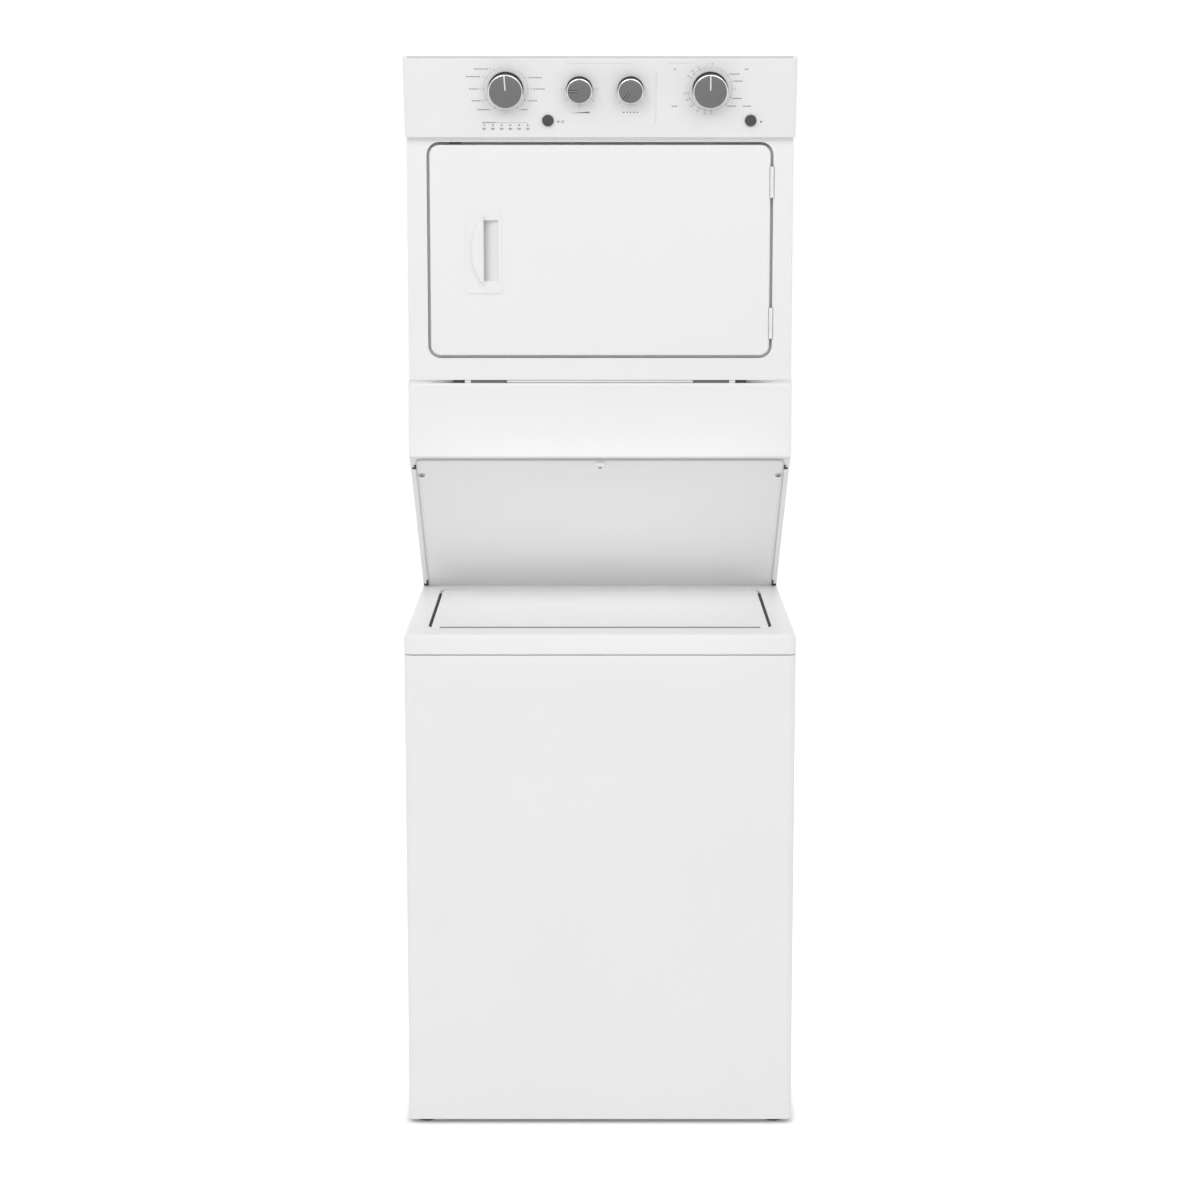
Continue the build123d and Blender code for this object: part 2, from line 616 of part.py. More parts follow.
def washer_lid():
    """Pressed lid pan with a rounded edge, two hinge bosses and the strike of the lid switch."""
    foot = DECK_HEIGHT - LID_DEPTH
    skin = upright(lid_outline(0), foot, DECK_HEIGHT)
    outer = fillet(skin.edges().group_by(Axis.Z)[-1], LID_EDGE)
    lid = outer - upright(lid_outline(-LID_WALL), foot, DECK_HEIGHT - LID_WALL)
    boss = block(LID_WIDTH / 2 - LID_RADIUS - LID_BOSS, LID_WIDTH / 2, LID_AXIS_Y - LID_BOSS / 2,
                 LID_AXIS_Y + LID_AXIS_INSET, foot, DECK_HEIGHT - LID_WALL / 2)
    for piece in both_sides(boss):
        lid += piece & outer
    lid += block(-STRIKE_WIDTH / 2, STRIKE_WIDTH / 2, STRIKE_Y - STRIKE_THICKNESS / 2,
                 STRIKE_Y + STRIKE_THICKNESS / 2, foot - STRIKE_DROP, DECK_HEIGHT - LID_WALL / 2)
    return lid - lid_axis_rod(LID_PIN_RADIUS)


def lid_hinge_pins():
    """Two pins fixed in the lid's bosses that turn in the sides of the lid seat."""
    start = LID_WIDTH / 2 - LID_RADIUS - LID_BOSS
    length = LID_RADIUS + LID_BOSS + LID_GAP + TOP_WALL + LID_PIN_SPARE
    return both_sides(rod((start, LID_AXIS_Y, LID_AXIS_Z), ACROSS, LID_PIN_RADIUS, length))


# Tub, basket and agitator

def outer_tub():
    """Moulded tub with four lugs that rest on the suspension, and the ring that narrows its mouth."""
    hole = NECK_RADIUS + TOUCH_GAP
    inside = TUB_RADIUS - TUB_WALL
    foot = TUB_FLOOR_HEIGHT
    rim = TUB_TOP - TUB_WALL
    tub = turned([(hole, foot), (TUB_RADIUS, foot), (TUB_RADIUS, rim), (inside, rim),
                  (inside, foot + TUB_WALL), (hole, foot + TUB_WALL)], TUB_Y)
    for x, y in ROD_PLACES:
        reach = hypot(x, y - TUB_Y) + LUG_WIDTH / 2
        lug = block(TUB_RADIUS - TUB_WALL / 2, reach, -LUG_WIDTH / 2, LUG_WIDTH / 2, 0, LUG_HEIGHT)
        lug = Pos(0, TUB_Y, LUG_FOOT) * Rot(0, 0, degrees(atan2(y - TUB_Y, x))) * lug
        tub += lug - rod((x, y, LUG_FOOT), UPWARD, ROD_RADIUS + ROD_HOLE_GAP, LUG_HEIGHT)
    return [tub, pipe((0, TUB_Y, rim), UPWARD, TUB_RADIUS, TUB_MOUTH_RADIUS, TUB_WALL)]


def suspension_rods():
    """Four rods that hang from the gussets and carry the tub's lugs on spring cups."""
    rods = []
    for x, y in ROD_PLACES:
        start = LUG_FOOT - ROD_CUP_HEIGHT
        one = rod((x, y, start), UPWARD, ROD_RADIUS, GUSSET_TOP + ROD_HEAD_HEIGHT - start)
        one += rod((x, y, GUSSET_TOP), UPWARD, ROD_HEAD_RADIUS, ROD_HEAD_HEIGHT)
        rods.append(one + rod((x, y, start), UPWARD, ROD_CUP_RADIUS, ROD_CUP_HEIGHT))
    return rods


def bearing_housing():
    """Bearing block under the tub with a crossbar that carries the motor and the pump."""
    bore = HUB_RADIUS + RUN_GAP
    foot = TUB_FLOOR_HEIGHT - HOUSING_DEPTH
    neck_top = TUB_FLOOR_HEIGHT + TUB_WALL + NECK_RISE
    body = turned([(bore, foot), (HOUSING_RADIUS, foot), (HOUSING_RADIUS, ARM_TOP),
                   (HOUSING_FLANGE_RADIUS, ARM_TOP), (HOUSING_FLANGE_RADIUS, TUB_FLOOR_HEIGHT),
                   (NECK_RADIUS, TUB_FLOOR_HEIGHT), (NECK_RADIUS, neck_top), (bore, neck_top)], TUB_Y)
    end = MOTOR_REACH + ARM_WIDTH / 2
    arm = block(-end, end, TUB_Y - ARM_WIDTH / 2, TUB_Y + ARM_WIDTH / 2, ARM_FOOT, ARM_TOP)
    arm -= rod((0, TUB_Y, ARM_FOOT), UPWARD, HOUSING_RADIUS - TOUCH_GAP, ARM_THICKNESS)
    arm -= rod((MOTOR_REACH, TUB_Y, ARM_FOOT), UPWARD, PUMP_NECK_RADIUS + HOLE_GAP, ARM_THICKNESS)
    return body + arm


def wash_basket():
    """Spin basket with its hub tube, which runs in the bearing housing."""
    bore = SHAFT_RADIUS + RUN_GAP
    inside = BASKET_RADIUS - BASKET_WALL
    floor_top = BASKET_FOOT + BASKET_WALL
    return turned([(bore, HUB_FOOT), (HUB_RADIUS, HUB_FOOT), (HUB_RADIUS, BASKET_FOOT),
                   (BASKET_RADIUS, BASKET_FOOT), (BASKET_RADIUS, BASKET_TOP), (inside, BASKET_TOP),
                   (inside, floor_top), (bore, floor_top)], TUB_Y)


def balance_ring():
    """Weighted ring on the rim of the basket, rounded on top."""
    inside = BASKET_RADIUS - RING_WIDTH
    top = BASKET_TOP + RING_HEIGHT
    outline = [(inside, BASKET_TOP), (BASKET_RADIUS, BASKET_TOP), (BASKET_RADIUS, top), (inside, top)]
    ring = turned(outline, TUB_Y)
    return fillet(ring.edges().group_by(Axis.Z)[-1], RING_ROUND)


def agitator_form(wall, foot):
    """Turned body of the agitator, flared from a narrow neck to a wide skirt."""
    skirt = AGITATOR_SKIRT - wall
    waist = AGITATOR_WAIST - wall
    neck = AGITATOR_NECK - wall
    top = AGITATOR_TOP - wall
    flare_foot = AGITATOR_FOOT + AGITATOR_SKIRT_RISE - wall
    flare_top = AGITATOR_FOOT + AGITATOR_WAIST_RISE
    share = 1 - cos(radians(45))
    middle = (waist + share * (skirt - waist), flare_foot + share * (flare_top - flare_foot))
    edges = [
        Line((0, foot), (skirt, foot)),
        Line((skirt, foot), (skirt, flare_foot)),
        ThreePointArc((skirt, flare_foot), middle, (waist, flare_top)),
        Line((waist, flare_top), (neck, top - neck / 2)),
        Line((neck, top - neck / 2), (neck / 2, top)),
        Line((neck / 2, top), (0, top)),
        Line((0, top), (0, foot)),
    ]
    return revolve(Plane.XZ * make_face(edges), Axis.Z)


def agitator():
    """Hollow agitator with upright vanes, held on the drive shaft by its inner hub."""
    body = agitator_form(0, AGITATOR_FOOT)
    reach = AGITATOR_SKIRT - VANE_INSET
    vane_foot = AGITATOR_FOOT + AGITATOR_WALL
    vane = profile([(0, vane_foot), (reach, vane_foot), (reach, AGITATOR_FOOT + VANE_TIP_RISE),
                    (0, AGITATOR_FOOT + VANE_HEIGHT)], -VANE_THICKNESS / 2, VANE_THICKNESS / 2)
    for step in range(VANE_COUNT):
        body += Rot(0, 0, step * 360 / VANE_COUNT) * vane
    body -= agitator_form(AGITATOR_WALL, AGITATOR_FOOT)
    hub_foot = AGITATOR_FOOT + AGITATOR_WAIST_RISE
    hub_height = AGITATOR_TOP - AGITATOR_WALL / 2 - hub_foot
    body += rod((0, 0, hub_foot), UPWARD, SHAFT_RADIUS + AGITATOR_HUB_WALL, hub_height)
    body -= rod((0, 0, hub_foot), UPWARD, SHAFT_RADIUS, AGITATOR_TOP - SHAFT_END_GAP - hub_foot)
    return Pos(0, TUB_Y, 0) * body


def drive_shaft():
    """Agitator shaft with the large belt pulley pressed on its lower end."""
    foot = PULLEY_TOP - PULLEY_WIDTH
    shaft = rod((0, TUB_Y, foot), UPWARD, SHAFT_RADIUS, AGITATOR_TOP - SHAFT_END_GAP - foot)
    return shaft + rod((0, TUB_Y, foot), UPWARD, PULLEY_RADIUS, PULLEY_WIDTH)


# Washer drive and water parts

def stop_ring(x, z, radius, wall):
    """Ring round a rear connection, in its hole and just outside the rear panel."""
    return pipe((x, REAR - SHEET, z), BACKWARD, radius + STOP_RISE, radius - wall / 2, SHEET + STOP_WIDTH)


def washer_motor():
    """Motor hung under the crossbar, with a bore for its shaft below."""
    foot = ARM_FOOT - MOTOR_LENGTH
    body = rod((-MOTOR_REACH, TUB_Y, foot), UPWARD, MOTOR_RADIUS, MOTOR_LENGTH)
    return body - rod((-MOTOR_REACH, TUB_Y, foot), UPWARD, MOTOR_SHAFT_RADIUS + RUN_GAP, MOTOR_BORE_DEPTH)


def washer_motor_pulley():
    """Motor shaft with its small belt pulley."""
    foot = PULLEY_TOP - PULLEY_WIDTH
    shaft_top = ARM_FOOT - MOTOR_LENGTH + MOTOR_BORE_DEPTH - TOUCH_GAP
    shaft = rod((-MOTOR_REACH, TUB_Y, foot), UPWARD, MOTOR_SHAFT_RADIUS, shaft_top - foot)
    return shaft + rod((-MOTOR_REACH, TUB_Y, foot), UPWARD, MOTOR_PULLEY_RADIUS, PULLEY_WIDTH)


def washer_belt():
    """Drive belt round the large and the small pulley."""
    outline = loop_belt((0, TUB_Y), PULLEY_RADIUS, (-MOTOR_REACH, TUB_Y), MOTOR_PULLEY_RADIUS,
                        WASHER_BELT_THICKNESS)
    middle = PULLEY_TOP - PULLEY_WIDTH / 2
    return upright(outline, middle - WASHER_BELT_WIDTH / 2, middle + WASHER_BELT_WIDTH / 2)


def drain_pump():
    """Pump under the crossbar, with a neck up to the tub and an outlet towards the back."""
    foot = ARM_FOOT - PUMP_LENGTH
    pump = rod((MOTOR_REACH, TUB_Y, foot), UPWARD, PUMP_RADIUS, PUMP_LENGTH)
    pump += rod((MOTOR_REACH, TUB_Y, foot), UPWARD, PUMP_NECK_RADIUS, TUB_FLOOR_HEIGHT - foot)
    outlet = rod((MOTOR_REACH, TUB_Y, foot + PUMP_LENGTH / 2), BACKWARD, HOSE_RADIUS, PUMP_RADIUS + HOSE_STUB)
    return pump + outlet


def drain_hose():
    """Hose from the pump along the floor and up the back to the drain connection."""
    z = ARM_FOOT - PUMP_LENGTH / 2
    start = (MOTOR_REACH, TUB_Y + PUMP_RADIUS + HOSE_STUB, z)
    back = REAR - HOSE_BACK_GAP
    route = FilletPolyline(start, (MOTOR_REACH, back, z), (MOTOR_REACH, back, HOSE_HEIGHT),
                           (MOTOR_REACH, REAR + HOSE_REACH, HOSE_HEIGHT), radius=[HOSE_BEND, HOSE_TOP_BEND])
    ring = Circle(HOSE_RADIUS) - Circle(HOSE_RADIUS - HOSE_WALL)
    hose = sweep(Plane(origin=start, z_dir=BACKWARD) * ring, path=route)
    return hose + stop_ring(MOTOR_REACH, HOSE_HEIGHT, HOSE_RADIUS, HOSE_WALL)


def water_inlet_valve():
    """Double valve on the back, with two screwed inlets and a spout over the tub."""
    face = REAR - SHEET
    half = VALVE_SIZE / 2
    valve = block(-VALVE_WIDTH / 2, VALVE_WIDTH / 2, face - VALVE_DEPTH, face, VALVE_Z - half, VALVE_Z + half)
    for x in INLET_XS:
        valve += rod((x, face - SHEET, VALVE_Z), BACKWARD, INLET_RADIUS, 2 * SHEET + INLET_REACH)
        valve += stop_ring(x, VALVE_Z, INLET_RADIUS, SHEET)
    tip = TUB_Y + TUB_MOUTH_RADIUS - SPOUT_INSET
    return valve + rod((0, tip, VALVE_Z), BACKWARD, SPOUT_RADIUS, face - VALVE_DEPTH / 2 - tip)


# Dryer shell

def recess_panel():
    """Slanted panel behind the lid, with a foot on the washer deck and a fold behind the access panel."""
    panel = profile([slant(0, 0), slant(SLOPE_LENGTH, 0), slant(SLOPE_LENGTH, -SHEET), slant(0, -SHEET)],
                    -INNER_HALF, INNER_HALF)
    foot_y = FRONT + RECESS_FOOT_SETBACK
    panel += block(-INNER_HALF, INNER_HALF, foot_y, foot_y + RECESS_FLANGE, DECK_HEIGHT, DECK_HEIGHT + SHEET)
    top_y = FRONT + RECESS_TOP_SETBACK
    half = INNER_HALF - RECESS_FOLD
    return panel + block(-half, half, top_y, top_y + SHEET, BAND_FOOT - SHEET, BAND_FOOT + RECESS_FLANGE)


def lid_bumper():
    """Round cushion on the slanted panel that stops the open lid."""
    hinge_along = (FRONT + RECESS_FOOT_SETBACK - LID_AXIS_Y) * cos(SLOPE) - LID_AXIS_DROP * sin(SLOPE)
    y, z = slant(hinge_along + LID_LENGTH - LID_AXIS_INSET + BUMPER_PAST_EDGE, 0)
    cushion = rod((0, y, z), FRONT_DOWN, BUMPER_RADIUS, BUMPER_HEIGHT)
    rim = cushion.edges().sort_by(Axis((0, y, z), FRONT_DOWN))[-1:]
    return fillet(rim, BUMPER_ROUND)


def dryer_cabinet():
    """Two side sheets, each with a folded strip along its slanted edge, and the back between them."""
    fold_start = SHEET / tan(SLOPE)
    top_y, top_z = slant(SLOPE_LENGTH, SHEET)
    side = profile([slant(fold_start, SHEET), (top_y, top_z), (top_y, FACE_FOOT),
                    (FACE_Y + FACE_RETURN, FACE_FOOT), (FACE_Y + FACE_RETURN, CONSOLE_FOOT),
                    (FRONT + CONSOLE_BACK, CONSOLE_FOOT),
                    (FRONT + CONSOLE_BACK, ROOF_FOOT), (REAR, ROOF_FOOT), (REAR, DECK_HEIGHT)],
                   INNER_HALF, DRYER_HALF)
    side += profile([slant(fold_start, SHEET), slant(SLOPE_LENGTH, SHEET), slant(SLOPE_LENGTH, 0),
                     slant(fold_start, 0)], INNER_HALF - RECESS_FOLD, DRYER_HALF)
    back = block(-INNER_HALF, INNER_HALF, REAR - SHEET, REAR, DECK_HEIGHT, ROOF_FOOT)
    back -= rod((BLOWER_X, REAR - SHEET, DUCT_Z), BACKWARD, DUCT_RADIUS + STOP_RISE + HOLE_GAP, SHEET)
    wire_foot = DECK_HEIGHT + COVER_RISE + 2 * COVER_WALL
    wire_half = COVER_WIDTH / 2 - 2 * COVER_WALL
    back -= block(COVER_RIGHT - wire_half, COVER_RIGHT + wire_half, REAR - SHEET, REAR,
                  wire_foot, wire_foot + COVER_HEIGHT / 2)
    return [back, *both_sides(side)]


def dryer_top():
    """Roof pan with rounded sides and back, behind the console."""
    front = FRONT + CONSOLE_BACK
    def pan(inset, start):
        body = block(inset - DRYER_HALF, DRYER_HALF - inset, start, REAR - inset, ROOF_FOOT, ROOF - inset)
        rim = [e for e in body.edges().group_by(Axis.Z)[-1] if e.center().Y > start + SHEET]
        return fillet(rim, ROOF_ROUND - inset)
    return pan(0, front) - pan(SHEET, front)


def door_outline(grow):
    """Rounded rectangle of the dryer door, grown evenly all round."""
    return RectangleRounded(DOOR_WIDTH + 2 * grow, DOOR_HEIGHT + 2 * grow, DOOR_RADIUS + grow)


def throat_outline(grow):
    """Rounded loading opening behind the door, grown evenly all round."""
    return RectangleRounded(THROAT_WIDTH + 2 * grow, THROAT_HEIGHT + 2 * grow, THROAT_RADIUS + grow)


def hinge_room():
    """Round clearance for the hinge barrels in the door's edge and the panel's edge."""
    length = HINGE_LENGTH + 2 * KNUCKLE_NOTCH
    radius = KNUCKLE_RADIUS + KNUCKLE_NOTCH
    return [rod((HINGE_X, HINGE_Y, z - length / 2), UPWARD, radius, length) for z in HINGE_HEIGHTS]


def door_switch_body():
    """Door switch let into the top of the door recess."""
    edge = DOOR_Z + DOOR_HEIGHT / 2 + DOOR_GAP
    depth = RECESS_DEPTH / 2
    return block(-SWITCH_LEFT - SWITCH_WIDTH / 2, -SWITCH_LEFT + SWITCH_WIDTH / 2, FLANGE_Y - SHEET - depth,
                 FLANGE_Y - SHEET, edge - SWITCH_PROUD, edge + SWITCH_HEIGHT)


def strike_box(margin, start, depth):
    """Block round the door's strike, with a margin all round."""
    half = DOOR_STRIKE_WIDTH / 2 + margin
    rise = DOOR_STRIKE_HEIGHT / 2 + margin
    return block(-STRIKE_LEFT - half, -STRIKE_LEFT + half, start, start + depth, DOOR_Z - rise, DOOR_Z + rise)


def dryer_front_panel():
    """Front of the dryer with a sunk seat for the door, and a strip behind the gap below."""
    panel = block(-DRYER_HALF, DRYER_HALF, FACE_Y, FACE_Y + FACE_RETURN, FACE_FOOT, CONSOLE_FOOT)
    panel = fillet(panel.edges().filter_by(Axis.Z).sort_by(Axis.Y)[:2], FACE_RADIUS)
    panel -= block(-INNER_HALF, INNER_HALF, FACE_Y + SHEET, FACE_Y + FACE_RETURN,
                   FACE_FOOT + SHEET, CONSOLE_FOOT - SHEET)
    panel += facing(door_outline(DOOR_GAP + SHEET), FACE_Y + SHEET / 2, FLANGE_Y, DOOR_Z)
    panel -= facing(door_outline(DOOR_GAP), FACE_Y, FLANGE_Y - SHEET, DOOR_Z)
    panel -= facing(throat_outline(0), FLANGE_Y - SHEET, FLANGE_Y, DOOR_Z)
    panel -= hinge_room()
    panel -= door_switch_body()
    panel -= strike_box(DOOR_STRIKE_GAP, FLANGE_Y - SHEET, SHEET)
    rail = block(-RAIL_HALF, RAIL_HALF, FACE_Y + RAIL_BACK, FACE_Y + RAIL_BACK + SHEET,
                 FACE_FOOT - BAND_GAP + RAIL_CLEAR, FACE_FOOT + SHEET / 2)
    return panel + rail


def access_panel():
    """Removable band under the dryer front, wrapped round the sides of the cabinet."""
    half = DRYER_HALF + BAND_WALL
    top = BAND_FOOT + BAND_HEIGHT
    panel = block(-half, half, BAND_Y, BAND_Y + BAND_SIDE_RETURN, BAND_FOOT, top)
    panel = fillet(panel.faces().sort_by(Axis.Y)[0].edges(), BAND_RADIUS)
    hollow = block(-DRYER_HALF, DRYER_HALF, BAND_Y + BAND_WALL, BAND_Y + BAND_SIDE_RETURN,
                   BAND_FOOT + BAND_WALL, top - BAND_WALL)
    panel -= fillet(hollow.faces().sort_by(Axis.Y)[0].edges(), BAND_RADIUS - BAND_WALL)
    return panel - block(-DRYER_HALF, DRYER_HALF, BAND_Y + BAND_TOP_RETURN, BAND_Y + BAND_SIDE_RETURN,
                         BAND_FOOT, top)


# Dryer door

def door_skin():
    """Outer door pan with a soft edge and an opening for the grip."""
    body = facing(door_outline(0), FACE_Y, FACE_Y + DOOR_SKIN_DEPTH, DOOR_Z)
    body = fillet(body.faces().sort_by(Axis.Y)[0].edges(), DOOR_EDGE)
    body -= facing(door_outline(-DOOR_WALL), FACE_Y + DOOR_WALL, FACE_Y + DOOR_SKIN_DEPTH, DOOR_Z)
    body -= handle_body(-HANDLE_LIP, FACE_Y, FACE_Y + DOOR_WALL)
    return body - hinge_room()


def door_inner():
    """Inner door pan with the strike that enters the catch."""
    back = FACE_Y + DOOR_DEPTH
    body = facing(door_outline(-DOOR_WALL), FACE_Y + DOOR_WALL, back, DOOR_Z)
    body -= facing(door_outline(-2 * DOOR_WALL), FACE_Y + DOOR_WALL, back - DOOR_WALL, DOOR_Z)
    body += strike_box(0, back - DOOR_WALL / 2, DOOR_STRIKE_REACH + DOOR_WALL / 2)
    return body - hinge_room()


def door_gasket():
    """Seal round the loading opening, on the back of the door."""
    back = FACE_Y + DOOR_DEPTH
    ring = throat_outline(GASKET_MARGIN) - throat_outline(GASKET_MARGIN - GASKET_WIDTH)
    return facing(ring, back, back + GASKET_THICKNESS, DOOR_Z)


def door_catch():
    """Spring catch behind the door seat, with a pocket for the strike."""
    outer = strike_box(DOOR_STRIKE_GAP + CATCH_WALL, FLANGE_Y, CATCH_DEPTH)
    return outer - strike_box(DOOR_STRIKE_GAP, FLANGE_Y, CATCH_DEPTH - CATCH_WALL)


def handle_body(grow, y0, y1):
    """Rounded upright plate of the door grip between two depths."""
    plate = RectangleRounded(HANDLE_WIDTH + 2 * grow, HANDLE_HEIGHT + 2 * grow, HANDLE_RADIUS + grow / 2)
    return Pos(HANDLE_WIDTH / 2 - HANDLE_LEFT, 0, 0) * facing(plate, y0, y1, DOOR_Z)


def door_handle():
    """Grip plate with a D-shaped bulge and a finger pocket that slopes in behind it."""
    body = handle_body(0, FACE_Y - HANDLE_PROUD, FACE_Y)
    body = fillet(body.faces().sort_by(Axis.Y)[0].edges(), HANDLE_EDGE)
    pocket_left = POCKET_INSET - HANDLE_LEFT
    pocket_right = pocket_left + POCKET_WIDTH
    grip_left = GRIP_INSET - HANDLE_LEFT
    grip_right = grip_left + GRIP_WIDTH
    half = POCKET_HEIGHT / 2
    floor = FACE_Y + DOOR_DEPTH - 2 * DOOR_WALL - POCKET_WALL
    shallow = FACE_Y + POCKET_SHALLOW
    shell = Polyline([(pocket_left - POCKET_WALL, FACE_Y), (pocket_left - POCKET_WALL, floor + POCKET_WALL),
                      (pocket_left + POCKET_WALL, floor + POCKET_WALL),
                      (pocket_right + POCKET_WALL, shallow + POCKET_WALL),
                      (pocket_right + POCKET_WALL, FACE_Y - HANDLE_PROUD),
                      (pocket_left - POCKET_WALL, FACE_Y - HANDLE_PROUD)], close=True)
    body += upright(make_face(shell), DOOR_Z - half - POCKET_WALL, DOOR_Z + half + POCKET_WALL)
    hollow = Polyline([(pocket_left, FACE_Y), (pocket_left, floor), (pocket_right, shallow),
                       (pocket_right, FACE_Y - HANDLE_PROUD), (grip_right, FACE_Y - HANDLE_PROUD),
                       (grip_right, FACE_Y)], close=True)
    body -= upright(make_face(hollow), DOOR_Z - half, DOOR_Z + half)
    rise = GRIP_HEIGHT / 2
    bulge = make_face([
        ThreePointArc((grip_right, -rise), (grip_left, 0), (grip_right, rise)),
        Line((grip_right, rise), (grip_right, -rise)),
    ])
    grip = facing(bulge, FACE_Y - HANDLE_PROUD - GRIP_PROUD, FACE_Y - HANDLE_PROUD + POCKET_WALL, DOOR_Z)
    return body + fillet(grip.faces().sort_by(Axis.Y)[0].edges(), GRIP_ROUND)


def hinge_parts(moving):
    """Barrels and leaves of the two door hinges: the middle barrel moves, the outer two stay."""
    parts = []
    third = HINGE_LENGTH / 3
    for z in HINGE_HEIGHTS:
        start = (HINGE_X, HINGE_Y, z - HINGE_LENGTH / 2)
        if moving:
            foot = z - third / 2 + KNUCKLE_GAP
            length = third - 2 * KNUCKLE_GAP
            barrel = rod((HINGE_X, HINGE_Y, foot), UPWARD, KNUCKLE_RADIUS, length)
            edge = DOOR_WIDTH / 2
            leaf = block(edge, edge + LEAF_THICKNESS, HINGE_Y, FACE_Y + DOOR_SKIN_DEPTH, foot, foot + length)
            parts.append(barrel + leaf + rod(start, UPWARD, HINGE_PIN_RADIUS, HINGE_LENGTH))
        else:
            edge = DOOR_WIDTH / 2 + DOOR_GAP
            for foot in (z - HINGE_LENGTH / 2, z + third / 2):
                barrel = rod((HINGE_X, HINGE_Y, foot), UPWARD, KNUCKLE_RADIUS, third)
                leaf = block(edge - LEAF_THICKNESS, edge, HINGE_Y, FLANGE_Y - 2 * SHEET, foot, foot + third)
                parts.append(barrel + leaf - rod(start, UPWARD, HINGE_PIN_RADIUS + RUN_GAP, HINGE_LENGTH))
    return parts


# Dryer drum and air parts

def front_bulkhead():
    """Plate and loading throat of four panels each, and the drum collar in quarters, welded edge to edge."""
    plate = block(-INNER_HALF, INNER_HALF, PLATE_Y - BULKHEAD_WALL, PLATE_Y, SHELF_TOP, ROOF_FOOT)
    plate -= facing(throat_outline(0), PLATE_Y - BULKHEAD_WALL, PLATE_Y, DOOR_Z)
    plate -= rod((BLOWER_X, PLATE_Y - BULKHEAD_WALL, BLOWER_Z), BACKWARD,
                 INLET_PORT_RADIUS + CHUTE_WALL + HOLE_GAP, BULKHEAD_WALL)
    throat = facing(throat_outline(BULKHEAD_WALL), FLANGE_Y, PLATE_Y - BULKHEAD_WALL, DOOR_Z)
    throat -= facing(throat_outline(0), FLANGE_Y, PLATE_Y, DOOR_Z)
    throat -= screen_space(THROAT_FLOOR - BULKHEAD_WALL, THROAT_FLOOR)
    collar = pipe((0, PLATE_Y, DRUM_Z), BACKWARD, COLLAR_RADIUS, COLLAR_RADIUS - BULKHEAD_WALL,
                  BULKHEAD_GAP + COLLAR_REACH)
    quarters = [collar & block(x0, x1, PLATE_Y, REAR, z0, z1) for x0, x1 in ((-HALF, 0), (0, HALF))
                for z0, z1 in ((SHELF_Z, DRUM_Z), (DRUM_Z, ROOF))]
    return [*panels(plate), *panels(throat), *quarters]


def panels(shape):
    """Cuts a sheet round the loading throat into the panels below, above and at each side of it."""
    flat = THROAT_WIDTH / 2 - THROAT_RADIUS
    rooms = [(-flat, flat, SHELF_Z, DOOR_Z), (-flat, flat, DOOR_Z, ROOF),
             (-HALF, -flat, SHELF_Z, ROOF), (flat, HALF, SHELF_Z, ROOF)]
    return [shape & block(x0, x1, FRONT, REAR, z0, z1) for x0, x1, z0, z1 in rooms]


def screen_space(z0, z1):
    """Room for the lint screen between two heights."""
    half = SCREEN_WIDTH / 2 + SCREEN_GAP
    reach = SCREEN_THICKNESS / 2 + SCREEN_GAP
    return block(-half, half, SCREEN_Y - reach, SCREEN_Y + reach, z0, z1)


def lint_screen():
    """Framed screen that slides up out of the chute, with a lip that rests on the throat floor."""
    half = SCREEN_WIDTH / 2
    reach = SCREEN_THICKNESS / 2
    foot = THROAT_FLOOR - SCREEN_HEIGHT
    frame = block(-half, half, SCREEN_Y - reach, SCREEN_Y + reach, foot, THROAT_FLOOR + SCREEN_LIP_HEIGHT)
    for y0, y1 in ((-reach, -SCREEN_MESH / 2), (SCREEN_MESH / 2, reach)):
        frame -= block(SCREEN_FRAME - half, half - SCREEN_FRAME, SCREEN_Y + y0, SCREEN_Y + y1,
                       foot + SCREEN_FRAME, THROAT_FLOOR - SCREEN_FRAME)
    lip_half = half + SCREEN_LIP
    lip_reach = reach + SCREEN_LIP
    lip = block(-lip_half, lip_half, SCREEN_Y - lip_reach, SCREEN_Y + lip_reach,
                THROAT_FLOOR + RUN_GAP, THROAT_FLOOR + SCREEN_LIP_HEIGHT)
    return frame + lip


def drum_end_ring(y):
    """Felt ring between a bulkhead collar and the drum."""
    return pipe((0, y, DRUM_Z), BACKWARD, DRUM_RADIUS - DRUM_SHEET - TOUCH_GAP, COLLAR_RADIUS, FELT_WIDTH)


def felt_seals():
    """Felt rings at the front and the back of the drum."""
    margin = (COLLAR_REACH - FELT_WIDTH) / 2
    return [drum_end_ring(DRUM_FRONT + margin), drum_end_ring(DRUM_REAR - margin - FELT_WIDTH)]


def rear_bulkhead():
    """Back plate with a collar for the drum, hot-air holes and two roller axles."""
    plate = block(-INNER_HALF, INNER_HALF, BACK_PLATE_Y, BACK_PLATE_Y + BULKHEAD_WALL, SHELF_TOP, ROOF_FOOT)
    plate += pipe((0, DRUM_REAR - COLLAR_REACH, DRUM_Z), BACKWARD, COLLAR_RADIUS,
                  COLLAR_RADIUS - BULKHEAD_WALL, COLLAR_REACH + BULKHEAD_GAP)
    for x in (-ROLLER_X, ROLLER_X):
        start = ROLLER_Y - BULKHEAD_GAP / 2
        plate += rod((x, start, ROLLER_Z), BACKWARD, ROLLER_AXLE_RADIUS, BACK_PLATE_Y + BULKHEAD_WALL - start)
    for column in range(HEAT_HOLE_COLUMNS):
        for row in range(HEAT_HOLE_ROWS):
            x = (column - (HEAT_HOLE_COLUMNS - 1) / 2) * HEAT_HOLE_PITCH
            z = DRUM_Z + DRUM_RADIUS / 2 + (row - (HEAT_HOLE_ROWS - 1) / 2) * HEAT_HOLE_PITCH
            plate -= rod((x, BACK_PLATE_Y, z), BACKWARD, HEAT_HOLE_RADIUS, BULKHEAD_WALL)
    return plate


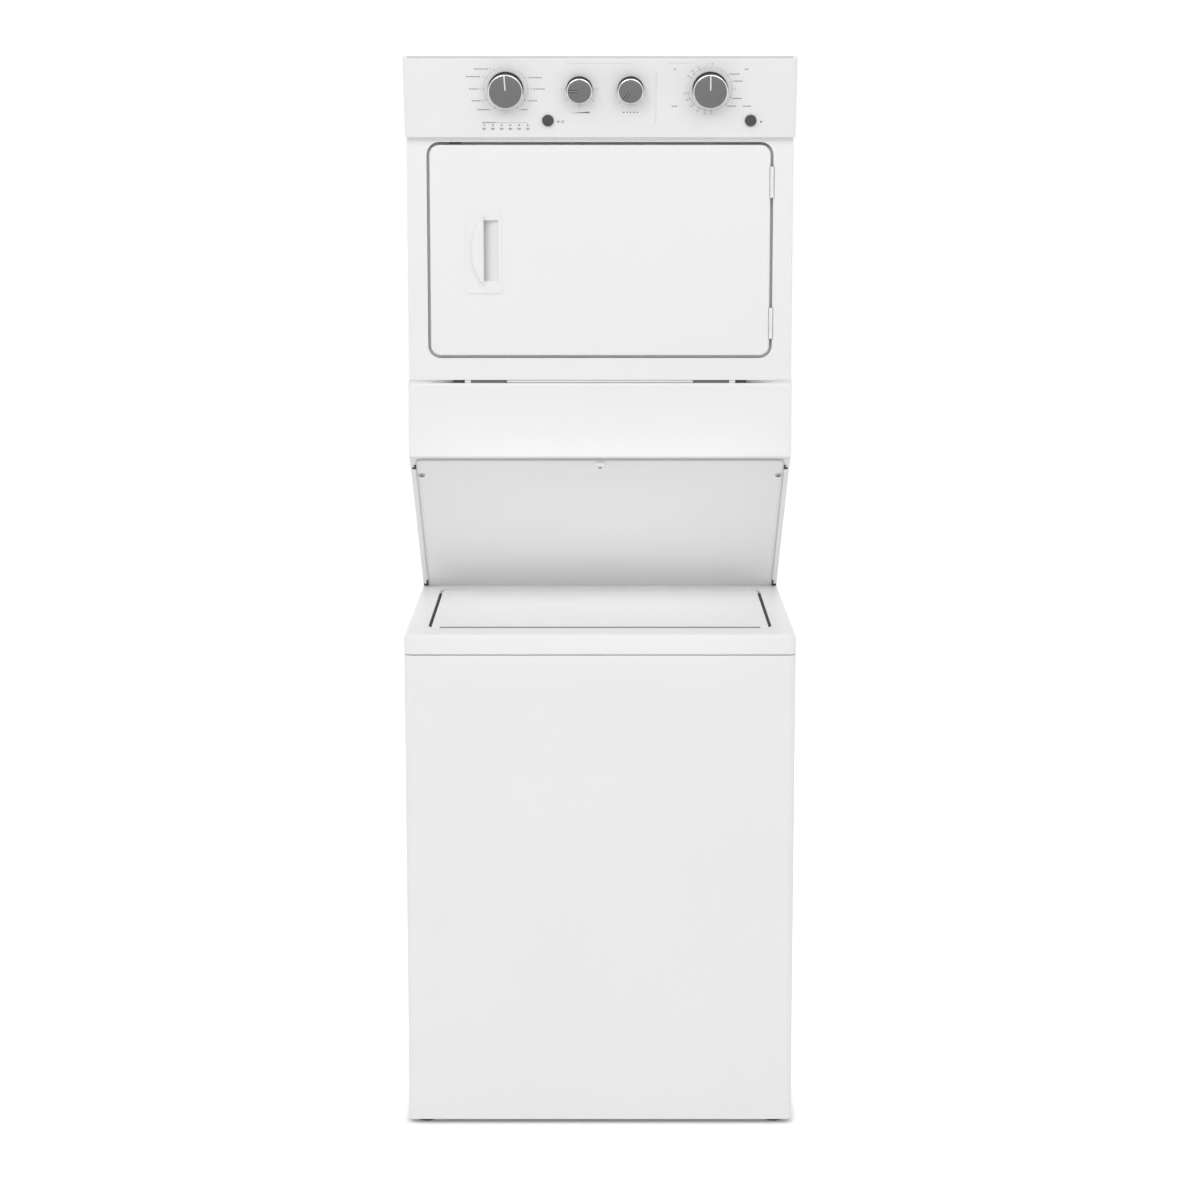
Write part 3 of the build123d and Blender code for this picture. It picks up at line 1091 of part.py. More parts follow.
def drum():
    """Open tumbling drum."""
    return pipe((0, DRUM_FRONT, DRUM_Z), BACKWARD, DRUM_RADIUS, DRUM_RADIUS - DRUM_SHEET, DRUM_LENGTH)


def drum_baffles():
    """Lifting ribs on the inside of the drum."""
    inside = DRUM_RADIUS - DRUM_SHEET
    tip = BAFFLE_HEIGHT - inside
    rib = make_face(Polyline((-BAFFLE_BASE / 2, -DRUM_RADIUS), (BAFFLE_BASE / 2, -DRUM_RADIUS),
                             (BAFFLE_TIP / 2, tip), (-BAFFLE_TIP / 2, tip), close=True))
    rib = fillet(rib.vertices().sort_by(Axis.Y)[-2:], BAFFLE_ROUND)
    start = DRUM_FRONT + COLLAR_REACH + BAFFLE_END_GAP
    end = DRUM_REAR - COLLAR_REACH - BAFFLE_END_GAP
    solid = facing(rib, start, end, 0) & rod((0, start, 0), BACKWARD, inside, end - start)
    step = 360 / BAFFLE_COUNT
    return [Pos(0, 0, DRUM_Z) * Rot(0, step / 2 + step * n, 0) * solid for n in range(BAFFLE_COUNT)]


def roller(x):
    """Support roller under the back of the drum."""
    return pipe((x, ROLLER_Y, ROLLER_Z), BACKWARD, ROLLER_RADIUS, ROLLER_AXLE_RADIUS + RUN_GAP, ROLLER_WIDTH)


def idler_place():
    """Middle of the idler (x, z), pressed from outside on the lower run of the belt."""
    dx, dz = BLOWER_X, BLOWER_Z - DRUM_Z
    turn = atan2(dz, dx) + acos((DRUM_RADIUS - DRYER_PULLEY_RADIUS) / hypot(dx, dz))
    away = DRYER_PULLEY_RADIUS + DRYER_BELT_THICKNESS + IDLER_RADIUS + 2 * TOUCH_GAP
    x = BLOWER_X + away * cos(turn) - IDLER_SHIFT * sin(turn)
    return (x, BLOWER_Z + away * sin(turn) + IDLER_SHIFT * cos(turn))


def motor_shelf():
    """Shelf across the dryer with a bracket and axle for the idler."""
    shelf = block(-INNER_HALF, INNER_HALF, FRONT + SHELF_SETBACK, REAR - SHEET, SHELF_Z, SHELF_TOP)
    half = OUTLET_WIDTH / 2 + HOLE_GAP
    shelf -= block(BLOWER_X - half, BLOWER_X + half, BLOWER_Y - HOLE_GAP, BLOWER_Y + BLOWER_DEPTH + HOLE_GAP,
                   SHELF_Z, SHELF_TOP)
    x, z = idler_place()
    bracket_y = BELT_Y + IDLER_WIDTH / 2 + TOUCH_GAP
    shelf += block(x - BRACKET_WIDTH / 2, x + BRACKET_WIDTH / 2, bracket_y, bracket_y + BRACKET_THICKNESS,
                   SHELF_TOP, z + 2 * IDLER_AXLE_RADIUS)
    axle_y = BELT_Y - IDLER_WIDTH / 2 - BRACKET_THICKNESS
    axle_length = bracket_y + BRACKET_THICKNESS / 2 - axle_y
    return shelf + rod((x, axle_y, z), BACKWARD, IDLER_AXLE_RADIUS, axle_length)


def idler_pulley():
    """Belt tension wheel on its axle."""
    x, z = idler_place()
    start = (x, BELT_Y - IDLER_WIDTH / 2, z)
    return pipe(start, BACKWARD, IDLER_RADIUS, IDLER_AXLE_RADIUS + RUN_GAP, IDLER_WIDTH)


def dryer_belt():
    """Belt round the drum and the motor pulley."""
    outline = loop_belt((0, 0), DRUM_RADIUS, (BLOWER_X, BLOWER_Z - DRUM_Z), DRYER_PULLEY_RADIUS,
                        DRYER_BELT_THICKNESS)
    return facing(outline, BELT_Y - DRYER_BELT_WIDTH / 2, BELT_Y + DRYER_BELT_WIDTH / 2, DRUM_Z)


def dryer_motor():
    """Motor on the shelf, with a bore right through for its shaft."""
    body = rod((BLOWER_X, MOTOR_Y, BLOWER_Z), BACKWARD, DRYER_MOTOR_RADIUS, DRYER_MOTOR_LENGTH)
    foot_half = DRYER_MOTOR_FOOT / 2
    body += block(BLOWER_X - foot_half, BLOWER_X + foot_half, MOTOR_Y + DRYER_MOTOR_GAP,
                  MOTOR_Y + DRYER_MOTOR_LENGTH - DRYER_MOTOR_GAP, SHELF_TOP, BLOWER_Z)
    bore = MOTOR_SHAFT_RADIUS + RUN_GAP
    return body - rod((BLOWER_X, MOTOR_Y, BLOWER_Z), BACKWARD, bore, DRYER_MOTOR_LENGTH)


def dryer_motor_shaft():
    """Motor shaft with the belt pulley on its back end and a seat for the blower wheel in front."""
    start = BLOWER_Y + 2 * BLOWER_WALL
    end = BELT_Y + IDLER_WIDTH
    shaft = rod((BLOWER_X, start, BLOWER_Z), BACKWARD, MOTOR_SHAFT_RADIUS, end - start)
    pulley_y = BELT_Y - IDLER_WIDTH / 2
    return shaft + rod((BLOWER_X, pulley_y, BLOWER_Z), BACKWARD, DRYER_PULLEY_RADIUS, IDLER_WIDTH)


def blower_wheel():
    """Fan wheel: a back disc, a hub, a front ring and a ring of blades."""
    front = BLOWER_Y + (BLOWER_DEPTH - WHEEL_DEPTH) / 2
    back = front + WHEEL_DEPTH
    place = (BLOWER_X, 0, BLOWER_Z)
    wheel = rod((0, back - BLOWER_WALL, 0), BACKWARD, WHEEL_RADIUS, BLOWER_WALL)
    wheel += rod((0, front, 0), BACKWARD, WHEEL_HUB_RADIUS, WHEEL_DEPTH)
    wheel += pipe((0, front, 0), BACKWARD, WHEEL_RADIUS, WHEEL_RADIUS - BLADE_LENGTH, BLOWER_WALL)
    blade = block(WHEEL_RADIUS - BLADE_LENGTH + BLADE_THICKNESS, WHEEL_RADIUS - BLADE_THICKNESS, front, back,
                  -BLADE_THICKNESS / 2, BLADE_THICKNESS / 2)
    for n in range(WHEEL_BLADES):
        wheel += Rot(0, n * 360 / WHEEL_BLADES, 0) * blade
    return Pos(*place) * (wheel - rod((0, front, 0), BACKWARD, MOTOR_SHAFT_RADIUS, WHEEL_DEPTH))


def blower_housing():
    """Lint chute in front of the bulkhead and fan scroll behind it, joined by a round neck."""
    under_throat = THROAT_FLOOR - BULKHEAD_WALL
    half = SCREEN_WIDTH / 2 + SCREEN_GAP + CHUTE_WALL
    drop = SCREEN_HEIGHT + SCREEN_GAP + CHUTE_WALL
    mouth = Pos(0, under_throat - drop / 2) * Rectangle(2 * half, drop)
    well = Pos(BLOWER_X, BLOWER_Z) * Circle(INLET_PORT_RADIUS + 2 * CHUTE_WALL)
    chute = make_hull(mouth.edges() + well.edges())
    outside = facing(chute, CHUTE_FRONT, CHUTE_BACK, 0)
    inside = facing(offset(chute, -CHUTE_WALL), CHUTE_FRONT + CHUTE_WALL, CHUTE_BACK - CHUTE_WALL, 0)
    middle = (BLOWER_X, BLOWER_Y, BLOWER_Z)
    inner_y = BLOWER_Y + BLOWER_WALL
    inner_depth = BLOWER_DEPTH - 2 * BLOWER_WALL
    outside += rod(middle, BACKWARD, BLOWER_RADIUS, BLOWER_DEPTH)
    inside += rod((BLOWER_X, inner_y, BLOWER_Z), BACKWARD, BLOWER_RADIUS - BLOWER_WALL, inner_depth)
    neck = (BLOWER_X, CHUTE_BACK - CHUTE_WALL, BLOWER_Z)
    outside += rod(neck, BACKWARD, INLET_PORT_RADIUS + CHUTE_WALL, inner_y - CHUTE_BACK + CHUTE_WALL)
    inside += rod(neck, BACKWARD, INLET_PORT_RADIUS, inner_y - CHUTE_BACK + CHUTE_WALL)
    x0, x1 = BLOWER_X - OUTLET_WIDTH / 2, BLOWER_X + OUTLET_WIDTH / 2
    outside += block(x0, x1, BLOWER_Y, BLOWER_Y + BLOWER_DEPTH, SHELF_Z, BLOWER_Z - BLOWER_RADIUS / 2)
    inside += block(x0 + BLOWER_WALL, x1 - BLOWER_WALL, inner_y, inner_y + inner_depth, SHELF_Z, BLOWER_Z)
    inside += rod((BLOWER_X, inner_y, BLOWER_Z), BACKWARD, 2 * MOTOR_SHAFT_RADIUS, BLOWER_DEPTH)
    return outside - inside - screen_space(under_throat - SCREEN_HEIGHT / 2, under_throat)


def heater_box():
    """Heater casing on the shelf with a low duct to the back plate."""
    back = BACK_PLATE_Y - HEATER_BACK
    right = HEATER_LEFT + HEATER_WIDTH
    def form(inset):
        box = block(HEATER_LEFT + inset, right - inset, back - HEATER_LENGTH + inset, back - inset,
                    SHELF_TOP + inset, SHELF_TOP + HEATER_HEIGHT - inset)
        return box + block(HEATER_LEFT + HEATER_WIDTH / 3 + inset, right - inset, back - HEATER_BACK / 2,
                           BACK_PLATE_Y, SHELF_TOP + inset, SHELF_TOP + HEATER_DUCT_HEIGHT - inset)
    return form(0) - form(HEATER_WALL)


def exhaust_duct():
    """Elbow under the shelf that leads the fan's air to the round collar at the back."""
    end = BLOWER_Y + ELBOW_LENGTH
    def form(inset):
        floor = DUCT_Z - DUCT_RADIUS - ELBOW_MARGIN + inset
        slope_foot = DECK_HEIGHT + ELBOW_GAP + inset
        front = BLOWER_Y + inset
        back_of_panel = FRONT + RECESS_FOOT_SETBACK
        turn_y = back_of_panel - (floor - slope_foot) / tan(SLOPE)
        turn_z = slope_foot + (back_of_panel - front) * tan(SLOPE)
        half = DUCT_RADIUS + ELBOW_MARGIN - inset
        return profile([(front, SHELF_Z), (front, turn_z), (turn_y, floor), (end - inset, floor),
                        (end - inset, SHELF_Z)], BLOWER_X - half, BLOWER_X + half)
    start = (BLOWER_X, end - DUCT_WALL, DUCT_Z)
    length = REAR + REAR_REACH - end + DUCT_WALL
    elbow = form(0) - form(DUCT_WALL) - rod(start, BACKWARD, DUCT_RADIUS, DUCT_WALL)
    outlet = pipe(start, BACKWARD, DUCT_RADIUS, DUCT_RADIUS - DUCT_WALL, length)
    return [elbow, outlet + stop_ring(BLOWER_X, DUCT_Z, DUCT_RADIUS, DUCT_WALL)]


# Console

KNOBS = {
    "cycle_knob": (CYCLE_KNOB_SHARE * HALF, LARGE_KNOB_RADIUS, LARGE_KNOB_HEIGHT, CYCLE_TURN),
    "temperature_knob": (TEMPERATURE_KNOB_SHARE * HALF, SMALL_KNOB_RADIUS, SMALL_KNOB_HEIGHT,
                         TEMPERATURE_TURN),
    "softener_knob": (SOFTENER_KNOB_SHARE * HALF, SMALL_KNOB_RADIUS, SMALL_KNOB_HEIGHT, SOFTENER_TURN),
    "timer_knob": (TIMER_KNOB_SHARE * HALF, LARGE_KNOB_RADIUS, LARGE_KNOB_HEIGHT, TIMER_TURN),
}
BUTTONS = {"washer_button": WASHER_BUTTON_SHARE * HALF, "dryer_button": DRYER_BUTTON_SHARE * HALF}


def console_rod(x, rise, radius, start, end):
    """Round bar square to the console's face, from one height above the face to another."""
    bar = Pos(0, 0, start) * Cylinder(radius, end - start, align=FROM_START)
    return console_plane(x, rise) * bar


def console_block(x, rise, width, start, end):
    """Square block square to the console's face, from one height above the face to another."""
    return console_plane(x, rise) * Pos(0, 0, (start + end) / 2) * Box(width, width, end - start)


def light_places():
    """Middles of the indicator lights along the console."""
    return [LIGHT_SHARE * HALF + n * LIGHT_PITCH for n in range(LIGHT_COUNT)]


def console_form(inset, back):
    """Leaning console body, drawn in by an inset, with rounded ends."""
    foot = CONSOLE_FOOT + inset
    top = TOP - inset
    def face_y(z):
        return FRONT + CONSOLE_FOOT_SETBACK - (z - CONSOLE_FOOT) * tan(LEAN) + inset / cos(LEAN)
    half = HALF - inset
    body = profile([(face_y(foot), foot), (face_y(top), top), (back, top), (back, foot)], -half, half)
    middle = FRONT + CONSOLE_FOOT_SETBACK + inset
    ends = [e for e in body.edges() if abs(e.center().X) > half - SHEET and e.center().Y < middle]
    body = fillet(ends, CONSOLE_SIDE_ROUND - inset)
    rim = [e for e in body.edges().group_by(Axis.Z)[-1] if e.center().Y < back - SHEET]
    return fillet(rim, CONSOLE_TOP_ROUND - inset)


def console_panel():
    """Moulded control panel with holes for the knob stems, buttons and lights."""
    back = FRONT + CONSOLE_BACK
    panel = console_form(0, back) - console_form(CONSOLE_WALL, back)
    depth = -2 * CONSOLE_WALL
    for x, _, _, _ in KNOBS.values():
        panel -= console_rod(x, KNOB_RISE, STEM_RADIUS + STEM_HOLE_GAP, depth, CONSOLE_WALL)
    for x in BUTTONS.values():
        panel -= console_rod(x, BUTTON_RISE, BUTTON_RADIUS + TOUCH_GAP, depth, CONSOLE_WALL)
    for x in light_places():
        panel -= console_rod(x, LIGHT_RISE, LIGHT_RADIUS, depth, CONSOLE_WALL)
    return panel


def control_switches():
    """Rotary and push switches behind the console, the door switch and the lid switch."""
    bodies = []
    for x, _, _, _ in KNOBS.values():
        body = console_block(x, KNOB_RISE, SWITCH_BODY, -CONSOLE_WALL - SWITCH_DEPTH, -CONSOLE_WALL)
        bodies.append(body - console_rod(x, KNOB_RISE, STEM_RADIUS + RUN_GAP, -STEM_LENGTH - TOUCH_GAP, 0))
    for x in BUTTONS.values():
        start = -CONSOLE_WALL - SWITCH_DEPTH
        body = console_block(x, BUTTON_RISE, 2 * BUTTON_RADIUS + BUTTON_SWITCH / 4, start, -CONSOLE_WALL)
        body -= console_rod(x, BUTTON_RISE, BUTTON_RADIUS + TOUCH_GAP, start + BUTTON_SWITCH, 0)
        bodies.append(body - console_rod(x, BUTTON_RISE, BUTTON_STEM_RADIUS + RUN_GAP, start, 0))
    foot = LEDGE_Z - TOP_WALL - LID_SWITCH_SIZE / 2
    half = LID_SWITCH_SIZE / 2
    lid_switch = block(-half, half, STRIKE_Y - half / 2, STRIKE_Y + half / 2, foot, LEDGE_Z - TOP_WALL)
    return bodies + [door_switch_body(), lid_switch - strike_space(foot + TOP_WALL, LEDGE_Z)]


def indicator_lights():
    """Row of small lenses let into the console."""
    return [console_rod(x, LIGHT_RISE, LIGHT_RADIUS, -CONSOLE_WALL, LIGHT_PROUD) for x in light_places()]


def knob(x, radius, height, turn):
    """Turned knob with a skirt, a raised pointer and a stem into its switch."""
    rim = radius - KNOB_TAPER
    top = height - KNOB_CHAMFER
    half_turn = make_face(Polyline(
        (0, -STEM_LENGTH), (STEM_RADIUS, -STEM_LENGTH), (STEM_RADIUS, KNOB_GAP), (radius, KNOB_GAP),
        (radius, KNOB_SKIRT), (radius - KNOB_TAPER / 2, KNOB_SKIRT), (rim, top),
        (rim - KNOB_CHAMFER, height), (0, height), close=True))
    body = revolve(Plane.XZ * half_turn, Axis.Z)
    reach = rim - POINTER_INSET
    body += block(-POINTER_WIDTH / 2, POINTER_WIDTH / 2, 0, reach, top, height + POINTER_HEIGHT)
    return console_plane(x, KNOB_RISE) * Rot(0, 0, turn) * body


def button(x):
    """Push button with a short stem into its switch."""
    stem_start = -CONSOLE_WALL - SWITCH_DEPTH + BUTTON_TRAVEL + TOUCH_GAP
    body = console_rod(x, BUTTON_RISE, BUTTON_RADIUS, -CONSOLE_WALL, BUTTON_PROUD)
    cap = body.faces().sort_by(Axis((x, 0, 0), OUTWARD))[-1]
    body = fillet(cap.edges(), BUTTON_ROUND)
    return body + console_rod(x, BUTTON_RISE, BUTTON_STEM_RADIUS, stem_start, -CONSOLE_WALL)


def terminal_cover():
    """Cover over the power terminals, with the cord hole in its floor."""
    left = COVER_RIGHT - COVER_WIDTH / 2
    right = COVER_RIGHT + COVER_WIDTH / 2
    foot = DECK_HEIGHT + COVER_RISE
    cover = block(left, right, REAR, REAR + COVER_DEPTH, foot, foot + COVER_HEIGHT)
    cover = fillet(cover.faces().sort_by(Axis.Y)[-1].edges(), COVER_WALL)
    cover -= block(left + COVER_WALL, right - COVER_WALL, REAR, REAR + COVER_DEPTH - COVER_WALL,
                   foot + COVER_WALL, foot + COVER_HEIGHT - COVER_WALL)
    return cover - rod((COVER_RIGHT, REAR + COVER_DEPTH / 2, foot), UPWARD, CORD_HOLE_RADIUS, COVER_WALL)


# The pieces, each under its own name

def write(name, shape):
    """Write one named piece, or a group of like pieces."""
    solids = shape if isinstance(shape, list) else [shape]
    children = [solid for piece in solids for solid in piece.solids()]
    export_step(Compound(children=children, label=name), f"parts/{name}.step")


PIECES = {
    "washer_cabinet": washer_cabinet,
    "washer_rear_panel": washer_rear_panel,
    "base_frame": base_frame,
    "levelling_feet": levelling_feet,
    "washer_top": washer_top,
    "washer_lid": washer_lid,
    "lid_hinge_pins": lid_hinge_pins,
    "outer_tub": outer_tub,
    "suspension_rods": suspension_rods,
    "bearing_housing": bearing_housing,
    "wash_basket": wash_basket,
    "balance_ring": balance_ring,
    "agitator": agitator,
    "drive_shaft": drive_shaft,
    "washer_motor": washer_motor,
    "washer_motor_pulley": washer_motor_pulley,
    "washer_belt": washer_belt,
    "drain_pump": drain_pump,
    "drain_hose": drain_hose,
    "water_inlet_valve": water_inlet_valve,
    "recess_panel": recess_panel,
    "lid_bumper": lid_bumper,
    "dryer_cabinet": dryer_cabinet,
    "dryer_top": dryer_top,
    "dryer_front_panel": dryer_front_panel,
    "access_panel": access_panel,
    "door_skin": door_skin,
    "door_inner": door_inner,
    "door_gasket": door_gasket,
    "door_handle": door_handle,
    "door_catch": door_catch,
    "hinge_knuckles": lambda: hinge_parts(True),
    "hinge_leaves": lambda: hinge_parts(False),
    "front_bulkhead": front_bulkhead,
    "rear_bulkhead": rear_bulkhead,
    "felt_seals": felt_seals,
    "lint_screen": lint_screen,
    "drum": drum,
    "drum_baffles": drum_baffles,
    "left_roller": lambda: roller(-ROLLER_X),
    "right_roller": lambda: roller(ROLLER_X),
    "motor_shelf": motor_shelf,
    "idler_pulley": idler_pulley,
    "dryer_belt": dryer_belt,
    "dryer_motor": dryer_motor,
    "dryer_motor_shaft": dryer_motor_shaft,
    "blower_wheel": blower_wheel,
    "blower_housing": blower_housing,
    "heater_box": heater_box,
    "exhaust_duct": exhaust_duct,
    "console_panel": console_panel,
    "control_switches": control_switches,
    "indicator_lights": indicator_lights,
    "terminal_cover": terminal_cover,
}

os.makedirs("parts", exist_ok=True)
for name, make in PIECES.items():
    write(name, make())
for name, place in KNOBS.items():
    write(name, knob(*place))
for name, x in BUTTONS.items():
    write(name, button(x))
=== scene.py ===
import json
import bmesh
import bpy
import numpy as np
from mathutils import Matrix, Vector


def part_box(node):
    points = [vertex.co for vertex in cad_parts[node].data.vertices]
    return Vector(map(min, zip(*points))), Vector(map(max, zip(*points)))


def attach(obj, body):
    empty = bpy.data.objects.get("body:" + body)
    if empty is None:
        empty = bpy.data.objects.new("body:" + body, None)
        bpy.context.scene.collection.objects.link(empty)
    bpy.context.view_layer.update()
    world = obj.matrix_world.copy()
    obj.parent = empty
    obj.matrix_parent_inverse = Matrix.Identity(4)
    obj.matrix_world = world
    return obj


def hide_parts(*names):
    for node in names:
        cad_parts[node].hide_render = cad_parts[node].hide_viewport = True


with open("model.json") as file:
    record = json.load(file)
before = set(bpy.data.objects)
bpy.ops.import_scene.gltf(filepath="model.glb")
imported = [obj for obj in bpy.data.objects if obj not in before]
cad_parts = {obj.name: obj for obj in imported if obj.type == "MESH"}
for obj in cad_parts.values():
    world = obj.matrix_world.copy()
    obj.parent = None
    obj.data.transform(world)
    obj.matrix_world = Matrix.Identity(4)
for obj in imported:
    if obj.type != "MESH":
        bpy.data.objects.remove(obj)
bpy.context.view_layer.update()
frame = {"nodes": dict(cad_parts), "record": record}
record = frame["record"]
joint = {j["name"]: j for j in record["behaviour"]["joints"]}
MM = 0.001
SHARP_EDGE = np.radians(30)      # faces that meet at more than this keep a crisp edge


# Small tools for meshes and materials

def linear(code):
    """sRGB hex colour to linear RGBA: c / 12.92 up to 0.04045, else ((c + 0.055) / 1.055) ** 2.4."""
    c = np.array([int(code[i:i + 2], 16) for i in (1, 3, 5)]) / 255
    c = np.where(c <= 0.04045, c / 12.92, ((c + 0.055) / 1.055) ** 2.4)
    return (*c.tolist(), 1.0)


def add(tree, kind, inputs=(), **settings):
    """Adds one node with its settings; each input is a plain value or another node's output socket."""
    made = tree.nodes.new("ShaderNode" + kind)
    for key, value in settings.items():
        setattr(made, key, value)
    for key, value in dict(inputs).items():
        if isinstance(value, bpy.types.NodeSocket):
            tree.links.new(value, made.inputs[key])
        else:
            made.inputs[key].default_value = value
    return made


def repeats(size_mm):
    """Scale of a pattern from the real size of its marks: how many of them fit in a metre."""
    return 1 / (size_mm * MM)


def finish_of(name, **constants):
    """New material with one Principled shader: its tree, its shader and its Object coordinates."""
    material = bpy.data.materials.new(name)
    material.use_nodes = True
    tree = material.node_tree
    shader = tree.nodes["Principled BSDF"]
    for key, value in constants.items():
        shader.inputs[key.replace("_", " ")].default_value = value
    place = add(tree, "TexCoord").outputs["Object"]
    return material, tree, shader, place


def two_tone(tree, shader, pattern, dark, light, low=0.35, high=0.65):
    """Base colour that runs from one hex colour to the other as the pattern goes from low to high."""
    ramp = add(tree, "ValToRGB", {"Fac": pattern})
    for stop, spot, code in zip(ramp.color_ramp.elements, (low, high), (dark, light)):
        stop.position = spot
        stop.color = linear(code)
    tree.links.new(ramp.outputs["Color"], shader.inputs["Base Color"])


def rough_between(tree, shader, pattern, low, high):
    """Roughness that follows a pattern between two values."""
    span = add(tree, "MapRange", {"Value": pattern, "To Min": low, "To Max": high})
    tree.links.new(span.outputs["Result"], shader.inputs["Roughness"])


def relief(tree, shader, pattern, depth_mm, strength=1.0):
    """Bump whose full height is a real depth in millimetres."""
    bump = add(tree, "Bump", {"Height": pattern, "Distance": depth_mm * MM, "Strength": strength})
    tree.links.new(bump.outputs["Normal"], shader.inputs["Normal"])


# Finishes, each named for its real material

def baked_white_enamel():
    # Polyester enamel sprayed on sheet steel and baked: an even white with a soft gloss. The orange peel is
    # about 1 mm on the real sheet and is drawn at 4 mm here so that it shows at all.
    material, tree, shader, place = finish_of("baked_white_enamel", IOR=1.5, Specular_IOR_Level=0.3)
    cloud = add(tree, "TexNoise", {"Vector": place, "Scale": repeats(300), "Detail": 2.0}).outputs["Fac"]
    peel = add(tree, "TexNoise", {"Vector": place, "Scale": repeats(4), "Detail": 1.0}).outputs["Fac"]
    two_tone(tree, shader, cloud, "#f0f0f0", "#f1f1f1")
    rough_between(tree, shader, peel, 0.31, 0.35)
    relief(tree, shader, peel, 0.012)
    return material


def moulded_white_abs():
    # Injection-moulded ABS: white, a little flatter than the enamel. Its spark-eroded grain is about 0.8 mm and
    # is drawn at 1.6 mm so that it shows.
    material, tree, shader, place = finish_of("moulded_white_abs", IOR=1.54)
    cloud = add(tree, "TexNoise", {"Vector": place, "Scale": repeats(200), "Detail": 2.0}).outputs["Fac"]
    grain = add(tree, "TexNoise", {"Vector": place, "Scale": repeats(1.6), "Detail": 2.0}).outputs["Fac"]
    two_tone(tree, shader, cloud, "#eeeeee", "#f1f1f1")
    rough_between(tree, shader, grain, 0.36, 0.46)
    relief(tree, shader, grain, 0.02)
    return material


def galvanised_sheet_steel():
    # Hot-dip zinc on sheet steel: grey spangles about 9 mm across, each a slightly different grey and gloss.
    material, tree, shader, place = finish_of("galvanised_sheet_steel", Metallic=1.0)
    cells = add(tree, "TexVoronoi", {"Vector": place, "Scale": repeats(9), "Randomness": 1.0})
    tone = add(tree, "SeparateColor", {"Color": cells.outputs["Color"]}).outputs["Red"]
    two_tone(tree, shader, tone, "#b3b5b7", "#c1c3c4", 0.0, 1.0)
    rough_between(tree, shader, tone, 0.42, 0.5)
    return material


def moulded_polypropylene():
    # Injection-moulded polypropylene: a waxy off-white with faint flow marks about 60 mm long.
    material, tree, shader, place = finish_of("moulded_polypropylene", IOR=1.49)
    flow = add(tree, "TexNoise", {"Vector": place, "Scale": repeats(60), "Detail": 3.0,
                                  "Distortion": 1.2}).outputs["Fac"]
    two_tone(tree, shader, flow, "#d9dbdc", "#e3e4e5")
    rough_between(tree, shader, flow, 0.42, 0.55)
    return material


def holes_between(tree, across, along, radius):
    """1 inside round holes of a unit pattern, 0 outside, from two running coordinates whose repeat is 1."""
    parts = []
    for run in (across, along):
        step = add(tree, "Math", {0: run}, operation="FRACT").outputs[0]
        parts.append(add(tree, "Math", {0: step, 1: 0.5}, operation="SUBTRACT").outputs[0])
    spot = add(tree, "CombineXYZ", {"X": parts[0], "Y": parts[1]}).outputs[0]
    reach = add(tree, "VectorMath", {0: spot}, operation="LENGTH").outputs["Value"]
    return add(tree, "Math", {0: reach, 1: radius}, operation="LESS_THAN").outputs[0]


def perforated_basket_enamel(centre_y, foot, top):
    # White porcelain enamel on the spin basket: glassy, with round drain holes about 7 mm wide, 60 to a row
    # and a row every 26 mm, all over the wall but for a plain band at its foot and at its top. The holes are
    # not cut: they are dark spots of painted shade, and a bump presses them in.
    holes_round, row_mm, hole_share, plain_foot, plain_top = 60, 26, 0.13, 0.05, 0.04
    material, tree, shader, place = finish_of("perforated_basket_enamel", IOR=1.52, Roughness=0.2)
    axes = add(tree, "SeparateXYZ", {"Vector": place}).outputs
    depth = add(tree, "Math", {0: axes["Y"], 1: centre_y}, operation="SUBTRACT").outputs[0]
    turn = add(tree, "Math", {0: axes["X"], 1: depth}, operation="ARCTAN2").outputs[0]
    around = add(tree, "Math", {0: turn, 1: holes_round / (2 * np.pi)}, operation="MULTIPLY").outputs[0]
    rows = add(tree, "Math", {0: axes["Z"], 1: repeats(row_mm)}, operation="MULTIPLY").outputs[0]
    hole = holes_between(tree, around, rows, hole_share)
    low = add(tree, "Math", {0: axes["Z"], 1: foot + plain_foot}, operation="GREATER_THAN").outputs[0]
    high = add(tree, "Math", {0: axes["Z"], 1: top - plain_top}, operation="LESS_THAN").outputs[0]
    wall = add(tree, "Math", {0: low, 1: high}, operation="MULTIPLY").outputs[0]
    hole_painted_shade = add(tree, "Math", {0: hole, 1: wall}, operation="MULTIPLY").outputs[0]
    # Dark grey in the holes: painted shade where real holes would show the dark behind.
    two_tone(tree, shader, hole_painted_shade, "#e9ebec", "#2b2d2e", 0.4, 0.6)
    relief(tree, shader, hole_painted_shade, -1.0, 0.6)
    return material


def woven_lint_mesh():
    # Polyester mesh in the lint screen: a fine grey weave, 0.4 mm on the real one, drawn at 2 mm to show. Its
    # openings are drawn a darker grey: painted shade of what lies behind them.
    material, tree, shader, place = finish_of("woven_lint_mesh", Roughness=0.6)
    axes = add(tree, "SeparateXYZ", {"Vector": place}).outputs
    runs = [add(tree, "Math", {0: axes[axis], 1: repeats(2)}, operation="MULTIPLY").outputs[0]
            for axis in ("X", "Z")]
    two_tone(tree, shader, holes_between(tree, *runs, 0.34), "#c9cccd", "#6d7072", 0.4, 0.6)
    return material


def dark_moulded(name, dark, light, rough, grain_mm, sheen=0.5):
    # Moulded plastic, rubber or foam, mostly dark, with the fine grain of its mould: a soft sheen and no clear
    # reflections. The same finish draws the grey and black strips and lines of painted shade in gaps and seams.
    material, tree, shader, place = finish_of(name, IOR=1.5, Specular_IOR_Level=sheen)
    grain = add(tree, "TexNoise", {"Vector": place, "Scale": repeats(grain_mm), "Detail": 2.0}).outputs["Fac"]
    two_tone(tree, shader, grain, dark, light)
    rough_between(tree, shader, grain, rough - 0.05, rough + 0.05)
    relief(tree, shader, grain, 0.02)
    return material


